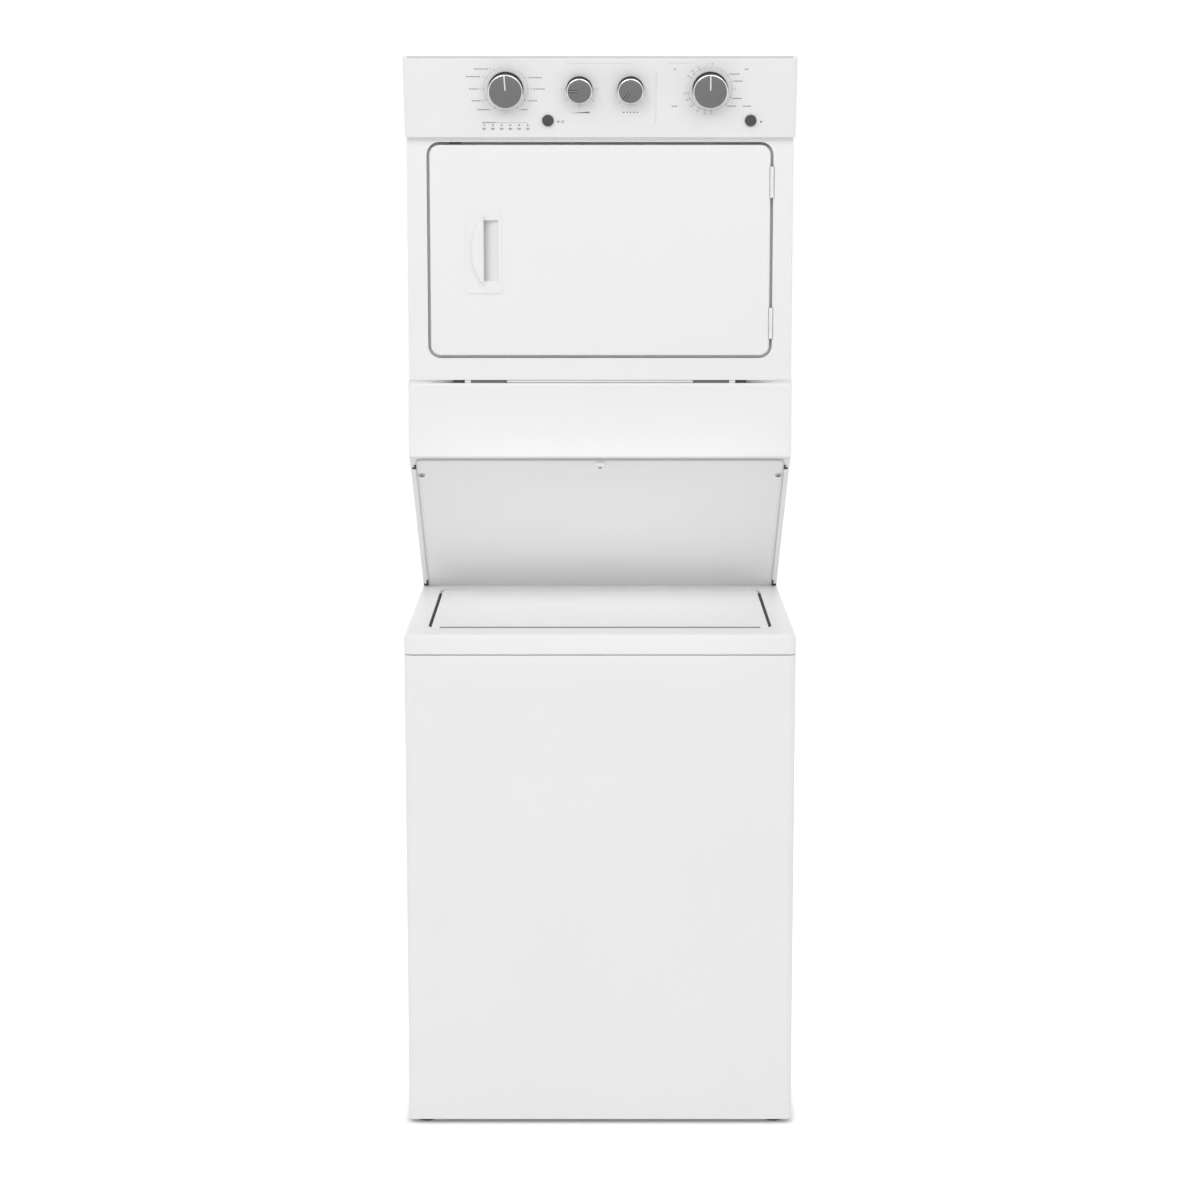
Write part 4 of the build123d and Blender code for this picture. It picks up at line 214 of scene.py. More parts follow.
def bare_metal(name, dark, light, rough, streak):
    # Cut or cast metal left bare: grey with tool marks, stretched along one axis where it was turned, and drawn
    # at 2 mm so that they show.
    material, tree, shader, place = finish_of(name, Metallic=1.0)
    spread = add(tree, "Mapping", {"Vector": place, "Scale": streak}).outputs[0]
    marks = add(tree, "TexNoise", {"Vector": spread, "Scale": repeats(2), "Detail": 2.0}).outputs["Fac"]
    two_tone(tree, shader, marks, dark, light)
    rough_between(tree, shader, marks, rough - 0.06, rough + 0.06)
    return material


def pressed_felt():
    # Pressed wool felt: matt grey fibres about 1.5 mm long, a fuzzy edge to the light.
    material, tree, shader, place = finish_of("pressed_felt", Roughness=0.95, Sheen_Weight=0.3)
    fibre = add(tree, "TexNoise", {"Vector": place, "Scale": repeats(1.5), "Detail": 6.0,
                                   "Distortion": 2.0}).outputs["Fac"]
    two_tone(tree, shader, fibre, "#8d8b85", "#b4b2ab")
    relief(tree, shader, fibre, 0.3)
    return material


def clear_lens():
    # Small moulded acrylic lens over an unlit lamp: pale grey, smooth.
    material, tree, shader, place = finish_of("moulded_acrylic_lens", IOR=1.49, Roughness=0.12)
    cloud = add(tree, "TexNoise", {"Vector": place, "Scale": repeats(4)}).outputs["Fac"]
    two_tone(tree, shader, cloud, "#a2a5a7", "#b9bcbe")
    return material


def printed_ink(name, dark, light):
    # Ink on the console and paint on the pointers: flat, with the small breaks that a printing screen leaves,
    # drawn at 0.8 mm. On the small pointers the same finish draws a painted highlight and painted shade.
    material, tree, shader, place = finish_of(name, Roughness=0.6)
    specks = add(tree, "TexNoise", {"Vector": place, "Scale": repeats(0.8), "Detail": 1.0}).outputs["Fac"]
    two_tone(tree, shader, specks, dark, light)
    return material


# What each solid of the frame is made of

enamel, abs_white, zinc = baked_white_enamel(), moulded_white_abs(), galvanised_sheet_steel()
polypropylene, felt = moulded_polypropylene(), pressed_felt()
lens, lint_mesh = clear_lens(), woven_lint_mesh()
basket_low, basket_high = (np.array(corner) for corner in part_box("wash_basket"))
porcelain = perforated_basket_enamel(float(basket_low[1] + basket_high[1]) / 2,
                                     float(basket_low[2]), float(basket_high[2]))
nylon = dark_moulded("glass_filled_black_nylon", "#26282a", "#303234", 0.45, 1.2)
button_cap = dark_moulded("moulded_charcoal_abs", "#454647", "#4d4e4f", 0.4, 1.0)
rubber = dark_moulded("moulded_nitrile_rubber", "#1d1d1e", "#272728", 0.7, 1.5)
motor_paint = dark_moulded("black_motor_enamel", "#2a2c2e", "#34373a", 0.35, 3.0)
inlet_nylon = dark_moulded("moulded_blue_grey_nylon", "#7c8790", "#89939b", 0.45, 2.0)
steel = bare_metal("turned_bright_steel", "#a6a8aa", "#bfc1c3", 0.3, (1.0, 1.0, 6.0))
casting = bare_metal("die_cast_aluminium", "#9da0a2", "#b2b4b6", 0.48, (1.0, 1.0, 1.0))
grey_ink = printed_ink("screen_printed_grey_ink", "#6f7173", "#77797b")
pale_ink = printed_ink("screen_printed_pale_grey_ink", "#b4b6b8", "#bcbec0")

made_of = {
    "white_enamel": enamel, "galvanised_steel": zinc, "white_plastic": abs_white,
    "tub_plastic": polypropylene, "dark_plastic": nylon, "knob_grey": button_cap, "machined_steel": steel,
    "motor_iron": motor_paint, "cast_housing": casting, "black_rubber": rubber, "grey_felt": felt,
    "inlet_plastic": inlet_nylon, "clear_lens": lens,
}
own_finish = {"wash_basket": porcelain, "lint_screen": lint_mesh, "washer_button": button_cap,
              "dryer_button": button_cap}
for part in record["subparts"]:
    finish = own_finish.get(part["node"], made_of[part["material_slot"]])
    solid = frame["nodes"][part["node"]]
    if not solid.material_slots:
        solid.data.materials.append(finish)
    for coat in solid.material_slots:
        coat.material = finish


# Surfaces, each a grid of points given by a formula

def quads(rows, columns, wrap=False):
    """Faces of a grid of points in reading order; wrap joins the last column to the first."""
    r, c = np.meshgrid(np.arange(rows - 1), np.arange(columns if wrap else columns - 1), indexing="ij")
    right = (c + 1) % columns
    corners = [r * columns + c, r * columns + right, (r + 1) * columns + right, (r + 1) * columns + c]
    return np.stack(corners, -1).reshape(-1, 4)


def shape(name, sheets, materials, body):
    """One mesh from (points, faces, material number) sheets, welded at 1 micron, that rides on a body."""
    points = np.concatenate([sheet[0] for sheet in sheets])
    starts = np.cumsum([0] + [len(sheet[0]) for sheet in sheets[:-1]])
    faces = [(np.asarray(face) + start).tolist()
             for start, sheet in zip(starts, sheets) for face in sheet[1]]
    numbers = np.concatenate([np.full(len(sheet[1]), sheet[2]) for sheet in sheets])
    mesh = bpy.data.meshes.new(name)
    mesh.from_pydata(points.tolist(), [], faces)
    for material in materials:
        mesh.materials.append(material)
    mesh.polygons.foreach_set("material_index", numbers.astype(np.int32))
    form = bmesh.new()
    form.from_mesh(mesh)
    bmesh.ops.remove_doubles(form, verts=form.verts, dist=1e-6)
    bmesh.ops.dissolve_degenerate(form, edges=form.edges, dist=1e-7)
    form.to_mesh(mesh)
    form.free()
    mesh.polygons.foreach_set("use_smooth", np.ones(len(mesh.polygons), bool))
    mesh.set_sharp_from_angle(angle=SHARP_EDGE)
    made = bpy.data.objects.new(name, mesh)
    bpy.context.collection.objects.link(made)
    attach(made, body)
    return made


def turned(radii, heights, turns=96):
    """Surface of revolution about z: radius and height follow a profile, the angle runs once round."""
    angle = np.linspace(0, 2 * np.pi, turns, endpoint=False)
    radius = np.array(radii, float)[:, None]
    height = np.broadcast_to(np.array(heights, float)[:, None], (len(radii), turns))
    points = np.stack([radius * np.cos(angle), radius * np.sin(angle), height], -1).reshape(-1, 3)
    return points, quads(len(radii), turns, wrap=True)


def pillow(width, height, rise, soft=0.2, steps=6):
    """Small raised patch in x and y: flat on top, its edge falling to zero over a soft border."""
    run = np.concatenate([np.linspace(-1, -1 + soft, steps), np.linspace(1 - soft, 1, steps)])
    across, along = np.meshgrid(run, run, indexing="xy")
    edge = np.maximum(np.abs(across), np.abs(along))
    lift = rise * np.sqrt(np.clip(1 - ((edge - 1 + soft) / soft).clip(0, 1) ** 2, 0, 1))
    points = np.stack([across * width / 2, along * height / 2, lift], -1).reshape(-1, 3)
    return points, quads(len(run), len(run))


def placed(sheet, origin, right, up, out):
    """A sheet drawn in millimetres, set on a plane given by its origin and three directions."""
    return origin + np.asarray(sheet[0]) * MM @ np.array([right, up, out]), sheet[1]


# Console: the plane that the knobs turn on

RIGHT = np.array([1.0, 0.0, 0.0])
OUT = np.array(joint["cycle_knob_turn"]["axis"], float)
OUT /= np.linalg.norm(OUT)
RISE = np.cross(OUT, RIGHT)
KNOBS = ("cycle", "temperature", "softener", "timer")
knob_place = {name: np.array(joint[name + "_knob_turn"]["pos_m"], float) for name in KNOBS}
KNOB_ROW = knob_place["cycle"] * [0, 1, 1]     # on the face, at the height of the knobs, in the middle
INK_THICKNESS = 0.06
DIGIT_SHARE = 0.72                             # height of a digit as a share of the built-in font's size


def flat(x0, x1, y0, y1):
    """Printed bar between two corners, in millimetres on the console face."""
    x, y = np.meshgrid([x0, x1], [y0, y1])
    return np.stack([x, y, np.zeros_like(x)], -1).reshape(-1, 3), quads(2, 2)


def arc_band(inner, outer, start, end, steps=64):
    """Printed band between two radii, from one angle to another, in degrees anticlockwise from the right."""
    angle = np.radians(np.linspace(start, end, steps))
    radius = np.array([inner, outer])[None, :]
    x, y = radius * np.cos(angle)[:, None], radius * np.sin(angle)[:, None]
    return np.stack([x, y, np.zeros_like(x)], -1).reshape(-1, 3), quads(steps, 2)


def polygon(corners):
    """Printed figure with straight sides, corners anticlockwise."""
    return np.array([(x, y, 0.0) for x, y in corners]), [list(range(len(corners)))]


def number(text, height, x, y):
    """Plain figures drawn with the built-in font, centred on a point, their digits of the given height."""
    curve = bpy.data.curves.new("figures", "FONT")
    curve.body, curve.align_x, curve.align_y = text, "CENTER", "CENTER"
    curve.resolution_u = 3
    holder = bpy.data.objects.new("figures", curve)
    mesh = bpy.data.meshes.new_from_object(holder)
    points = np.empty(len(mesh.vertices) * 3)
    mesh.vertices.foreach_get("co", points)
    faces = [list(face.vertices) for face in mesh.polygons]
    bpy.data.objects.remove(holder)
    points = points.reshape(-1, 3) * height / DIGIT_SHARE
    return points + [x, y, 0.0], faces


def moved(sheet, x, y):
    """A sheet carried sideways and upwards on its plane."""
    return np.asarray(sheet[0]) + [x, y, 0.0], sheet[1]


def print_on_console(name, sheets, ink):
    """Ink figures just off the console face; sheets are drawn about the middle of the knob row."""
    place = KNOB_ROW + OUT * INK_THICKNESS * MM
    laid = [(*placed(sheet, place, RIGHT, RISE, OUT), 0) for sheet in sheets]
    shape(name, laid, [ink], "cabinet")


def beside(centre, radius, degrees):
    """Point on a circle about a knob, in millimetres."""
    return centre + radius * np.cos(np.radians(degrees)), radius * np.sin(np.radians(degrees))


# Knobs: a black skirt, a bright bevelled rim, a satin face with a low crown, and a pointer

def satin_silver_paint():
    # Metallic lacquer sprayed on the knob faces: mid grey and satin. Its fine flakes are drawn at
    # 1.2 mm so that they show.
    material, tree, shader, place = finish_of("satin_silver_lacquer", Metallic=0.55)
    grain = add(tree, "TexNoise", {"Vector": place, "Scale": repeats(1.2), "Detail": 2.0}).outputs["Fac"]
    two_tone(tree, shader, grain, "#767677", "#818182")
    rough_between(tree, shader, grain, 0.38, 0.48)
    relief(tree, shader, grain, 0.01)
    return material


def bright_chrome():
    # Hot-stamped chrome foil on the knob rims: a mirror, a little soft, with faint scuffs about 1 mm long.
    material, tree, shader, place = finish_of("hot_stamped_chrome", Metallic=1.0)
    scuff = add(tree, "TexNoise", {"Vector": place, "Scale": repeats(1), "Detail": 3.0}).outputs["Fac"]
    two_tone(tree, shader, scuff, "#e6e6e6", "#f2f2f2")
    rough_between(tree, shader, scuff, 0.14, 0.24)
    return material


knob_side = dark_moulded("moulded_black_abs", "#131414", "#1a1b1b", 0.5, 0.8, sheen=0.2)
knob_face, knob_rim = satin_silver_paint(), bright_chrome()
RIM_WIDTH, FACE_DROP, CROWN_RISE = 2.7, 0.7, 1.8     # of every knob, in millimetres
BAR_DROP, BAR_SHORT, BAR_START = 0.9, 5.0, 2.6
# Pointer bars as (width, height, finish): pale on the large knobs. On the small ones a low ridge in the face's
# grey is drawn as a lighter bar, a painted highlight, on a dark bed of painted shade.
large_pointer = [(2.2, 0.8, printed_ink("moulded_pale_pointer", "#f1f1f1", "#f6f6f6"))]
small_pointer_painted_light_and_shade = [(1.7, 1.05, printed_ink("grey_pointer_painted_highlight", "#9b9c9d", "#a2a3a4")),
                 (4.8, 0.8, printed_ink("dark_grey_pointer_painted_shade", "#313233", "#373839"))]


def knob(name, radius, height, turn, pointer):
    """Turned knob of three finishes. Its face rises to the middle as one minus the square of the reach, and
    its pointer is one or two low bars that follow the face from the rim almost to the middle."""
    def crown(reach):
        """Rise of the face at a distance from the knob's axis."""
        return CROWN_RISE * np.clip(1 - (reach / (radius - RIM_WIDTH)) ** 2, 0, 1)

    side = turned([0, radius - 0.5, radius, radius, radius - 0.4, radius - 0.5, radius - 0.8],
                  [0.8, 0.8, 1.3, 3.6, 4.0, 4.6, height - 2.2])
    rim = turned(radius - np.array([0.8, 0.7, 0.9, 1.3, 2.0, 2.5, RIM_WIDTH]),
                 height - np.array([2.2, 1.7, 1.0, 0.5, 0.15, 0.2, FACE_DROP]))
    inner = np.linspace(radius - RIM_WIDTH, 0, 10)
    face = turned(inner, height - FACE_DROP + crown(inner))
    length = radius - BAR_SHORT
    bars = []
    for width, tall, _ in pointer:
        points, faces = moved(pillow(width, length, tall, soft=0.25), 0, length / 2 + BAR_START)
        points[:, 2] += height - BAR_DROP + crown(np.hypot(points[:, 0], points[:, 1]))
        bars.append((points, faces))
    angle = np.radians(turn)
    right = RIGHT * np.cos(angle) + RISE * np.sin(angle)
    up = RISE * np.cos(angle) - RIGHT * np.sin(angle)
    sheets = [(*placed(sheet, knob_place[name], right, up, OUT), coat)
              for coat, sheet in enumerate((side, rim, face, *bars))]
    finishes = [knob_side, knob_rim, knob_face, *(finish for _, _, finish in pointer)]
    made = shape(name + "_knob_cap", sheets, finishes, name + "_knob")
    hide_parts(name + "_knob")


knob("cycle", 31.0, 24.0, 4.0, large_pointer)
knob("temperature", 23.0, 20.0, 90.0, small_pointer_painted_light_and_shade)
knob("softener", 23.0, 20.0, 142.0, small_pointer_painted_light_and_shade)
knob("timer", 31.0, 24.0, 0.0, large_pointer)


# Console print: rings, ticks, plain figures and marks, all about the middle of the knob row, in millimetres

CYCLE, TEMPERATURE, SOFTENER, TIMER = (float(knob_place[name][0]) / MM for name in KNOBS)
RING, LARGE_TICK, SMALL_TICK = (38.8, 39.3), (37.4, 40.6), (25.6, 28.0)     # inner and outer radii
CYCLE_LABELS, SMALL_LABELS, TIMER_LABELS, TIMER_DASHES = 43.5, 31.5, 44.5, 43.0
TEMPERATURE_STOPS, SOFTENER_STOPS = (180, 221, 270, 319, 360), (232, 308)   # degrees from the right


def dashes(x0, x1, y, height=1.5):
    """Row of short bars from one end to the other, each 3.4 mm with gaps of 0.8 mm."""
    starts = np.arange(x0, x1 - 1.5, 4.2)
    return [flat(start, min(start + 3.4, x1), y - height / 2, y + height / 2) for start in starts]


def ticks(centre, inner, outer, angles, half=0.35):
    """Short radial bars about a knob."""
    bars = []
    for degrees in angles:
        turn = np.radians(degrees)
        c, s = np.cos(turn), np.sin(turn)
        box_points, box_faces = flat(inner, outer, -half, half)
        bars.append((box_points @ np.array([[c, s, 0], [-s, c, 0], [0, 0, 1.0]]) + [centre, 0, 0], box_faces))
    return bars


rings = [moved(arc_band(*RING, start, end), centre, 0)
         for centre, start, end in ((CYCLE, -64, 56), (CYCLE, 124, 244), (TIMER, -70, 76), (TIMER, 100, 152),
                                    (TIMER, 188, 262))]
rings += [flat(98.0, 98.5, -61, 31), flat(-59, 56, 45.2, 45.6), flat(119, 163, 45.2, 45.6)]
print_on_console("console_rings", rings, pale_ink)

marks = ticks(CYCLE, *LARGE_TICK, (-60, -30, 0, 30, 120, 150, 180, 210, 240))
marks += ticks(TEMPERATURE, *SMALL_TICK, TEMPERATURE_STOPS)
marks += ticks(SOFTENER, *SMALL_TICK, SOFTENER_STOPS)
marks += ticks(TIMER, *LARGE_TICK, (86, 119, 137, 150, 190, 206, 223, 241, 258, 274, 0, 19, 38, -23, -45))
left_labels = ((-69, 21.7, 4), (-64, 0, 3), (-60, -21, 2), (-50.4, -36.8, 1), (-55, 35.4, 5))
for far, y, figure in left_labels:
    near = -np.sqrt(CYCLE_LABELS ** 2 - y ** 2) - 1.5
    marks += [number(str(figure), 3.4, CYCLE + near, y)] + dashes(CYCLE + far, CYCLE + near - 3.2, y)
right_labels = ((64.5, 20.0, 6), (69.2, 0, 7), (55.3, -21, 8), (38.0, -36.8, 9))
for far, y, figure in right_labels:
    near = np.sqrt(CYCLE_LABELS ** 2 - y ** 2) + 1.5
    marks += [number(str(figure), 3.4, CYCLE + near, y)] + dashes(CYCLE + near + 3.2, CYCLE + far, y)
for figure, degrees in enumerate(TEMPERATURE_STOPS, 1):
    marks.append(number(str(figure), 3.2, *beside(TEMPERATURE, SMALL_LABELS, degrees)))
for figure, degrees in enumerate(SOFTENER_STOPS):
    marks.append(number(str(figure), 3.2, *beside(SOFTENER, SMALL_LABELS, degrees)))
minutes = (("0", 86), ("10", 119), ("20", 135), ("30", 150), ("60", 190), ("50", 206), ("40", 223),
           ("30", 241), ("20", 258), ("0", 274), ("0", 0))
for figure, degrees in minutes:
    marks.append(number(figure, 3.0, *beside(TIMER, TIMER_LABELS, degrees)))
for degrees, length in ((38, 16), (19, 17), (-23, 17), (-45, 15)):
    x, y = beside(TIMER, TIMER_DASHES, degrees)
    marks += dashes(x, x + length, y)
marks += [polygon([(TEMPERATURE - 18, -43), (TEMPERATURE + 18, -43), (TEMPERATURE + 18, -40.2)])]
marks += [moved(arc_band(0.0, 1.3, 0, 360, 20), SOFTENER + step, -41.5) for step in (-12, -6, 0, 6, 12)]
for count, (x, y) in enumerate(((-62, 34.9), (61, 34.9), (-66, -30.6), (60, -30.6)), 1):
    marks += [moved(arc_band(0.0, 1.25, 0, 360, 20), TIMER + x + 3.6 * dot, y) for dot in range(count)]
washer_press, dryer_press = (np.mean(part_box(node), axis=0) for node in ("washer_button", "dryer_button"))
press_y = float(np.dot(washer_press - KNOB_ROW, RISE)) / MM
for press, paused in ((washer_press, True), (dryer_press, False)):
    x = float(press[0]) / MM + 17
    marks.append(polygon([(x, press_y - 2.4), (x + 4.2, press_y), (x, press_y + 2.4)]))
    if paused:
        marks += [flat(x + 7.0, x + 8.2, press_y - 2.3, press_y + 2.3),
                  flat(x + 9.4, x + 10.6, press_y - 2.3, press_y + 2.3)]
lights_low, lights_high = (np.array(corner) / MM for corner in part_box("indicator_lights"))
light_y = float(np.dot((lights_low + lights_high) / 2 * MM - KNOB_ROW, RISE)) / MM
light_xs = np.linspace(lights_low[0] + 1.5, lights_high[0] - 1.5, 6)
for x in light_xs:
    marks += [flat(x - 3.6, x + 3.6, light_y - 6.2, light_y - 5.0),
              flat(x - 2.4, x + 2.4, light_y - 8.6, light_y - 7.4)]
marks += [flat(light_xs[0] + 22, light_xs[-1], light_y + 4.4, light_y + 4.8)]
marks += dashes(light_xs[0] - 3, light_xs[0] + 20, light_y + 4.6, 1.6)
print_on_console("console_figures", marks, grey_ink)


# Fasteners and small trim

def cross_screw(name, place, out, up, radius, body):
    """Pan-head screw: a low dome, part of an ellipse, with two dark bars on its crown that paint the shade in
    its cross recess.
    """
    right = np.cross(up, out)
    tall, spread = radius * 0.42, 0.96
    share = np.linspace(1, 0, 7)
    head = turned(radius * share, tall * np.sqrt(1 - (spread * share) ** 2), 28)
    rim = turned([radius * 0.9, radius], [0, tall * np.sqrt(1 - spread ** 2)], 28)
    long, narrow, thin = radius * 1.05, radius * 0.26, radius * 0.06
    # Dark bars of painted shade for the cross recess.
    cross = [(points + [0, 0, radius * 0.395], faces)
             for points, faces in (pillow(long, narrow, thin), pillow(narrow, long, thin))]
    sheets = [(*placed(sheet, place, right, up, out), coat)
              for coat, sheet in ((0, rim), (0, head), (1, cross[0]), (1, cross[1]))]
    shape(name, sheets, [steel, nylon], body)


def rail(outline, start, end):
    """Closed bar: a flat outline of (y, z) points, anticlockwise seen from the right, carried along x."""
    outline = np.array(outline, float)
    count = len(outline)
    xs = np.repeat([start, end], count)
    points = np.column_stack([xs, np.tile(outline, (2, 1))])
    caps = [list(range(count))[::-1], list(range(count, 2 * count))]
    return points, quads(2, count, wrap=True).tolist() + caps


def rounded_outline(y0, y1, z0, z1, radius, steps=5):
    """Rectangle in y and z with round corners, anticlockwise seen from the right."""
    turn = np.linspace(0, np.pi / 2, steps)
    corners = ((y1 - radius, z0 + radius, -np.pi / 2), (y1 - radius, z1 - radius, 0),
               (y0 + radius, z1 - radius, np.pi / 2), (y0 + radius, z0 + radius, np.pi))
    return np.concatenate([np.column_stack([y + radius * np.cos(turn + first),
                                            z + radius * np.sin(turn + first)])
                           for y, z, first in corners])


# Slanted recess panel: its foot, the way up it and the way out of it
FOOT_FLANGE = 28 * MM                          # depth of the panel behind the foot of its slope
panel_low, panel_high = (np.array(corner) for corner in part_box("recess_panel"))
deck = float(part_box("washer_top")[1][2])
SLOPE_FOOT = np.array([0.0, panel_high[1] - FOOT_FLANGE, deck])
slope_top = np.array([0.0, panel_low[1], float(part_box("access_panel")[0][2])])
UP_SLOPE = (slope_top - SLOPE_FOOT) / np.linalg.norm(slope_top - SLOPE_FOOT)
OFF_SLOPE = np.array([0.0, -UP_SLOPE[2], UP_SLOPE[1]])


def on_slope(x, along, off=0.0):
    """Point on the recess panel, in millimetres from its middle, up from its foot and off its face."""
    return SLOPE_FOOT + (RIGHT * x + UP_SLOPE * along + OFF_SLOPE * off) * MM


# Painted shade in the lid gaps: a grey strip that stands up in the front gap and black ones down in the side
# gaps, where the gaps show only shade
SIDES = ((-1, "left"), (1, "right"))
GAP_SHADE_FOOT, GAP_SHADE_ROUND = deck - 16 * MM, 1.0 * MM
lid_low, lid_high = (np.array(corner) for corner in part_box("washer_lid"))
front_gap_painted_shade = dark_moulded("grey_lid_gap_painted_shade", "#7d7f80", "#88898a", 0.6, 1.2)
front_strip = rounded_outline(lid_low[1] - 4.0 * MM, lid_low[1] - 1.4 * MM,
                              GAP_SHADE_FOOT, deck + 1.6 * MM, GAP_SHADE_ROUND)
shape("lid_front_gap_shade", [(*rail(front_strip, -0.286, 0.286), 0)], [front_gap_painted_shade], "cabinet")

side_gap_painted_shade = dark_moulded("black_lid_gap_painted_shade", "#232425", "#2b2c2d", 0.7, 1.2)
for side, word in SIDES:
    ends = sorted((side * (lid_high[0] + 1.0 * MM), side * (lid_high[0] + 5.4 * MM)))
    side_strip = rounded_outline(*ends, GAP_SHADE_FOOT, deck - 2.4 * MM, GAP_SHADE_ROUND)
    points, faces = rail(side_strip, -0.324, 0.036)      # drawn along x, then x and y change places
    shape("lid_side_gap_shade_" + word, [(points[:, [1, 0, 2]], [ring[::-1] for ring in faces], 0)],
          [side_gap_painted_shade], "cabinet")

# Gap over the access panel: grey strips of painted shade where its inside shows dark, clips, tabs and bent
# flanges, and a thin grey line of painted shadow in the middle
gap_foot = float(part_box("access_panel")[1][2])
gap_top = gap_foot + 5.5 * MM
SEAM_FOOT, SEAM_TOP = gap_foot + 0.1 * MM, gap_top - 0.1 * MM
FLANGE_STEPS = 12
face = float(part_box("dryer_front_panel")[0][1])
grey_painted_seam_shade = dark_moulded("grey_seam_painted_shade", "#78797a", "#838485", 0.8, 1.5)


def in_seam(name, side, near, far, front, back, finish):
    """Bar in the gap over the access panel, from one place to another beside the middle, in millimetres."""
    bar = rounded_outline(face + front * MM, face + back * MM, SEAM_FOOT, SEAM_TOP, 0.6 * MM)
    ends = sorted((side * near * MM, side * far * MM))
    shape(name, [(*rail(bar, *ends), 0)], [finish], "cabinet")


def seam_flange(name, side):
    """Bent strip at the end of the gap: its depth falls from 9 mm to 1.4 mm as the share to the power 0.7."""
    share, height = np.meshgrid(np.linspace(0, 1, FLANGE_STEPS), [SEAM_FOOT, SEAM_TOP])
    x = side * (0.2625 + share * 0.0798)
    front = np.stack([x, face + (9 - 7.6 * share ** 0.7) * MM, height], -1).reshape(-1, 3)
    back = front + [0, 0.8 * MM, 0]
    grid = quads(2, FLANGE_STEPS)[:, ::side]
    shape(name, [(front, grid, 0), (back, grid[:, ::-1], 0)], [enamel], "cabinet")


def fold_clip(name, side, along, leg, reach):
    """Bent black clip at the end of a fold: a leg up the slope and a foot to the outer side."""
    parts = [(pillow(3.6, leg, 1.2), 334.8, along),
             (pillow(reach, 5.5, 1.2), 333.0 + 0.5 * reach, along - 0.5 * leg + 2.75)]
    sheets = [(*placed(sheet, on_slope(side * x, y, 1.25), RIGHT, UP_SLOPE, OFF_SLOPE), 0)
              for sheet, x, y in parts]
    shape(name, sheets, [nylon], "cabinet")


def sealer_line(half_width=333, foot=18, top=454, turn_radius=10, half_line=1.5, widening=1.4, off=1.5):
    """Flat line of painted shade round the recess panel, in place of the shadow gap to the cabinet and the
    shadow
    under the band: up its right side, round the corners, along the top and down the left.
    It widens round the corners as the square of the sine of the turn. Millimetres on the slope."""
    turn = np.linspace(0, np.pi / 2, 9)
    outward = np.column_stack([np.cos(turn), np.sin(turn)])
    corner = [half_width - turn_radius, top - turn_radius] + turn_radius * outward
    half = half_line + widening * np.sin(turn) ** 2
    path = np.vstack([[half_width, foot], corner, corner[::-1] * [-1, 1], [-half_width, foot]])
    outward = np.vstack([[1, 0], outward, outward[::-1] * [-1, 1], [-1, 0]])
    half = np.concatenate([[half_line], half, half[::-1], [half_line]])[:, None]
    sides = np.stack([path - outward * half, path + outward * half], 1).reshape(-1, 2)
    return np.stack([on_slope(x, along, off) for x, along in sides]), quads(len(path), 2)


# Thin grey line of painted shadow along the top of the gap, over the middle.
thin_line = rounded_outline(face + 0.9 * MM, face + 1.45 * MM, gap_top - 0.9 * MM, SEAM_TOP, 0.2 * MM)
shape("seam_painted_shadow_line", [(*rail(thin_line, -0.167, 0.167), 0)], [grey_painted_seam_shade], "cabinet")
for side, word in SIDES:
    in_seam("seam_clip_" + word, side, 243, 262, 1.0, 12.0, nylon)
    in_seam("seam_tab_" + word, side, 232, 242.5, 2.0, 4.0, enamel)
    # Grey strip of painted shade where the dark inside of the gap shows.
    in_seam("seam_painted_shade_" + word, side, 169, 231.5, 4.0, 8.0, grey_painted_seam_shade)
    seam_flange("seam_flange_" + word, side)
    cross_screw("recess_screw_" + word, on_slope(side * 324.6, 402.0), OFF_SLOPE, UP_SLOPE, 6.0, "cabinet")
    fold_clip("fold_clip_" + word + "_top", side, 432.0, 14.0, 7.5)
    fold_clip("fold_clip_" + word + "_foot", side, 14.0, 20.0, 9.5)

# Grey of painted shade for the gap lines round the recess panel and along the console's top edge.
painted_gap_shade = dark_moulded("grey_painted_gap_shade", "#cacbcc", "#d1d2d3", 0.6, 1.5)
shape("recess_painted_gap_shade", [(*sealer_line(), 0)], [painted_gap_shade], "cabinet")


def console_lip(radius=4.0, off=0.12, inset=8.5, steps=8):
    """Thin line of painted shade along the rounded top edge of the console, on the rounding itself: an arc
    about the middle of the rounding, from 5 to 75 degrees up, carried along x to where the ends of the console
    turn away."""
    low, high = (np.array(corner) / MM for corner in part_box("console_panel"))
    lean = np.radians(np.linspace(5, 75, steps))
    lean, x = np.meshgrid(lean, [low[0] + inset, high[0] - inset], indexing="ij")
    y = low[1] + radius - (radius + off) * np.cos(lean)
    z = high[2] - radius + (radius + off) * np.sin(lean)
    return np.stack([x, y, z], -1).reshape(-1, 3) * MM, quads(steps, 2)


shape("console_top_shade_line", [(*console_lip(), 0)], [painted_gap_shade], "cabinet")


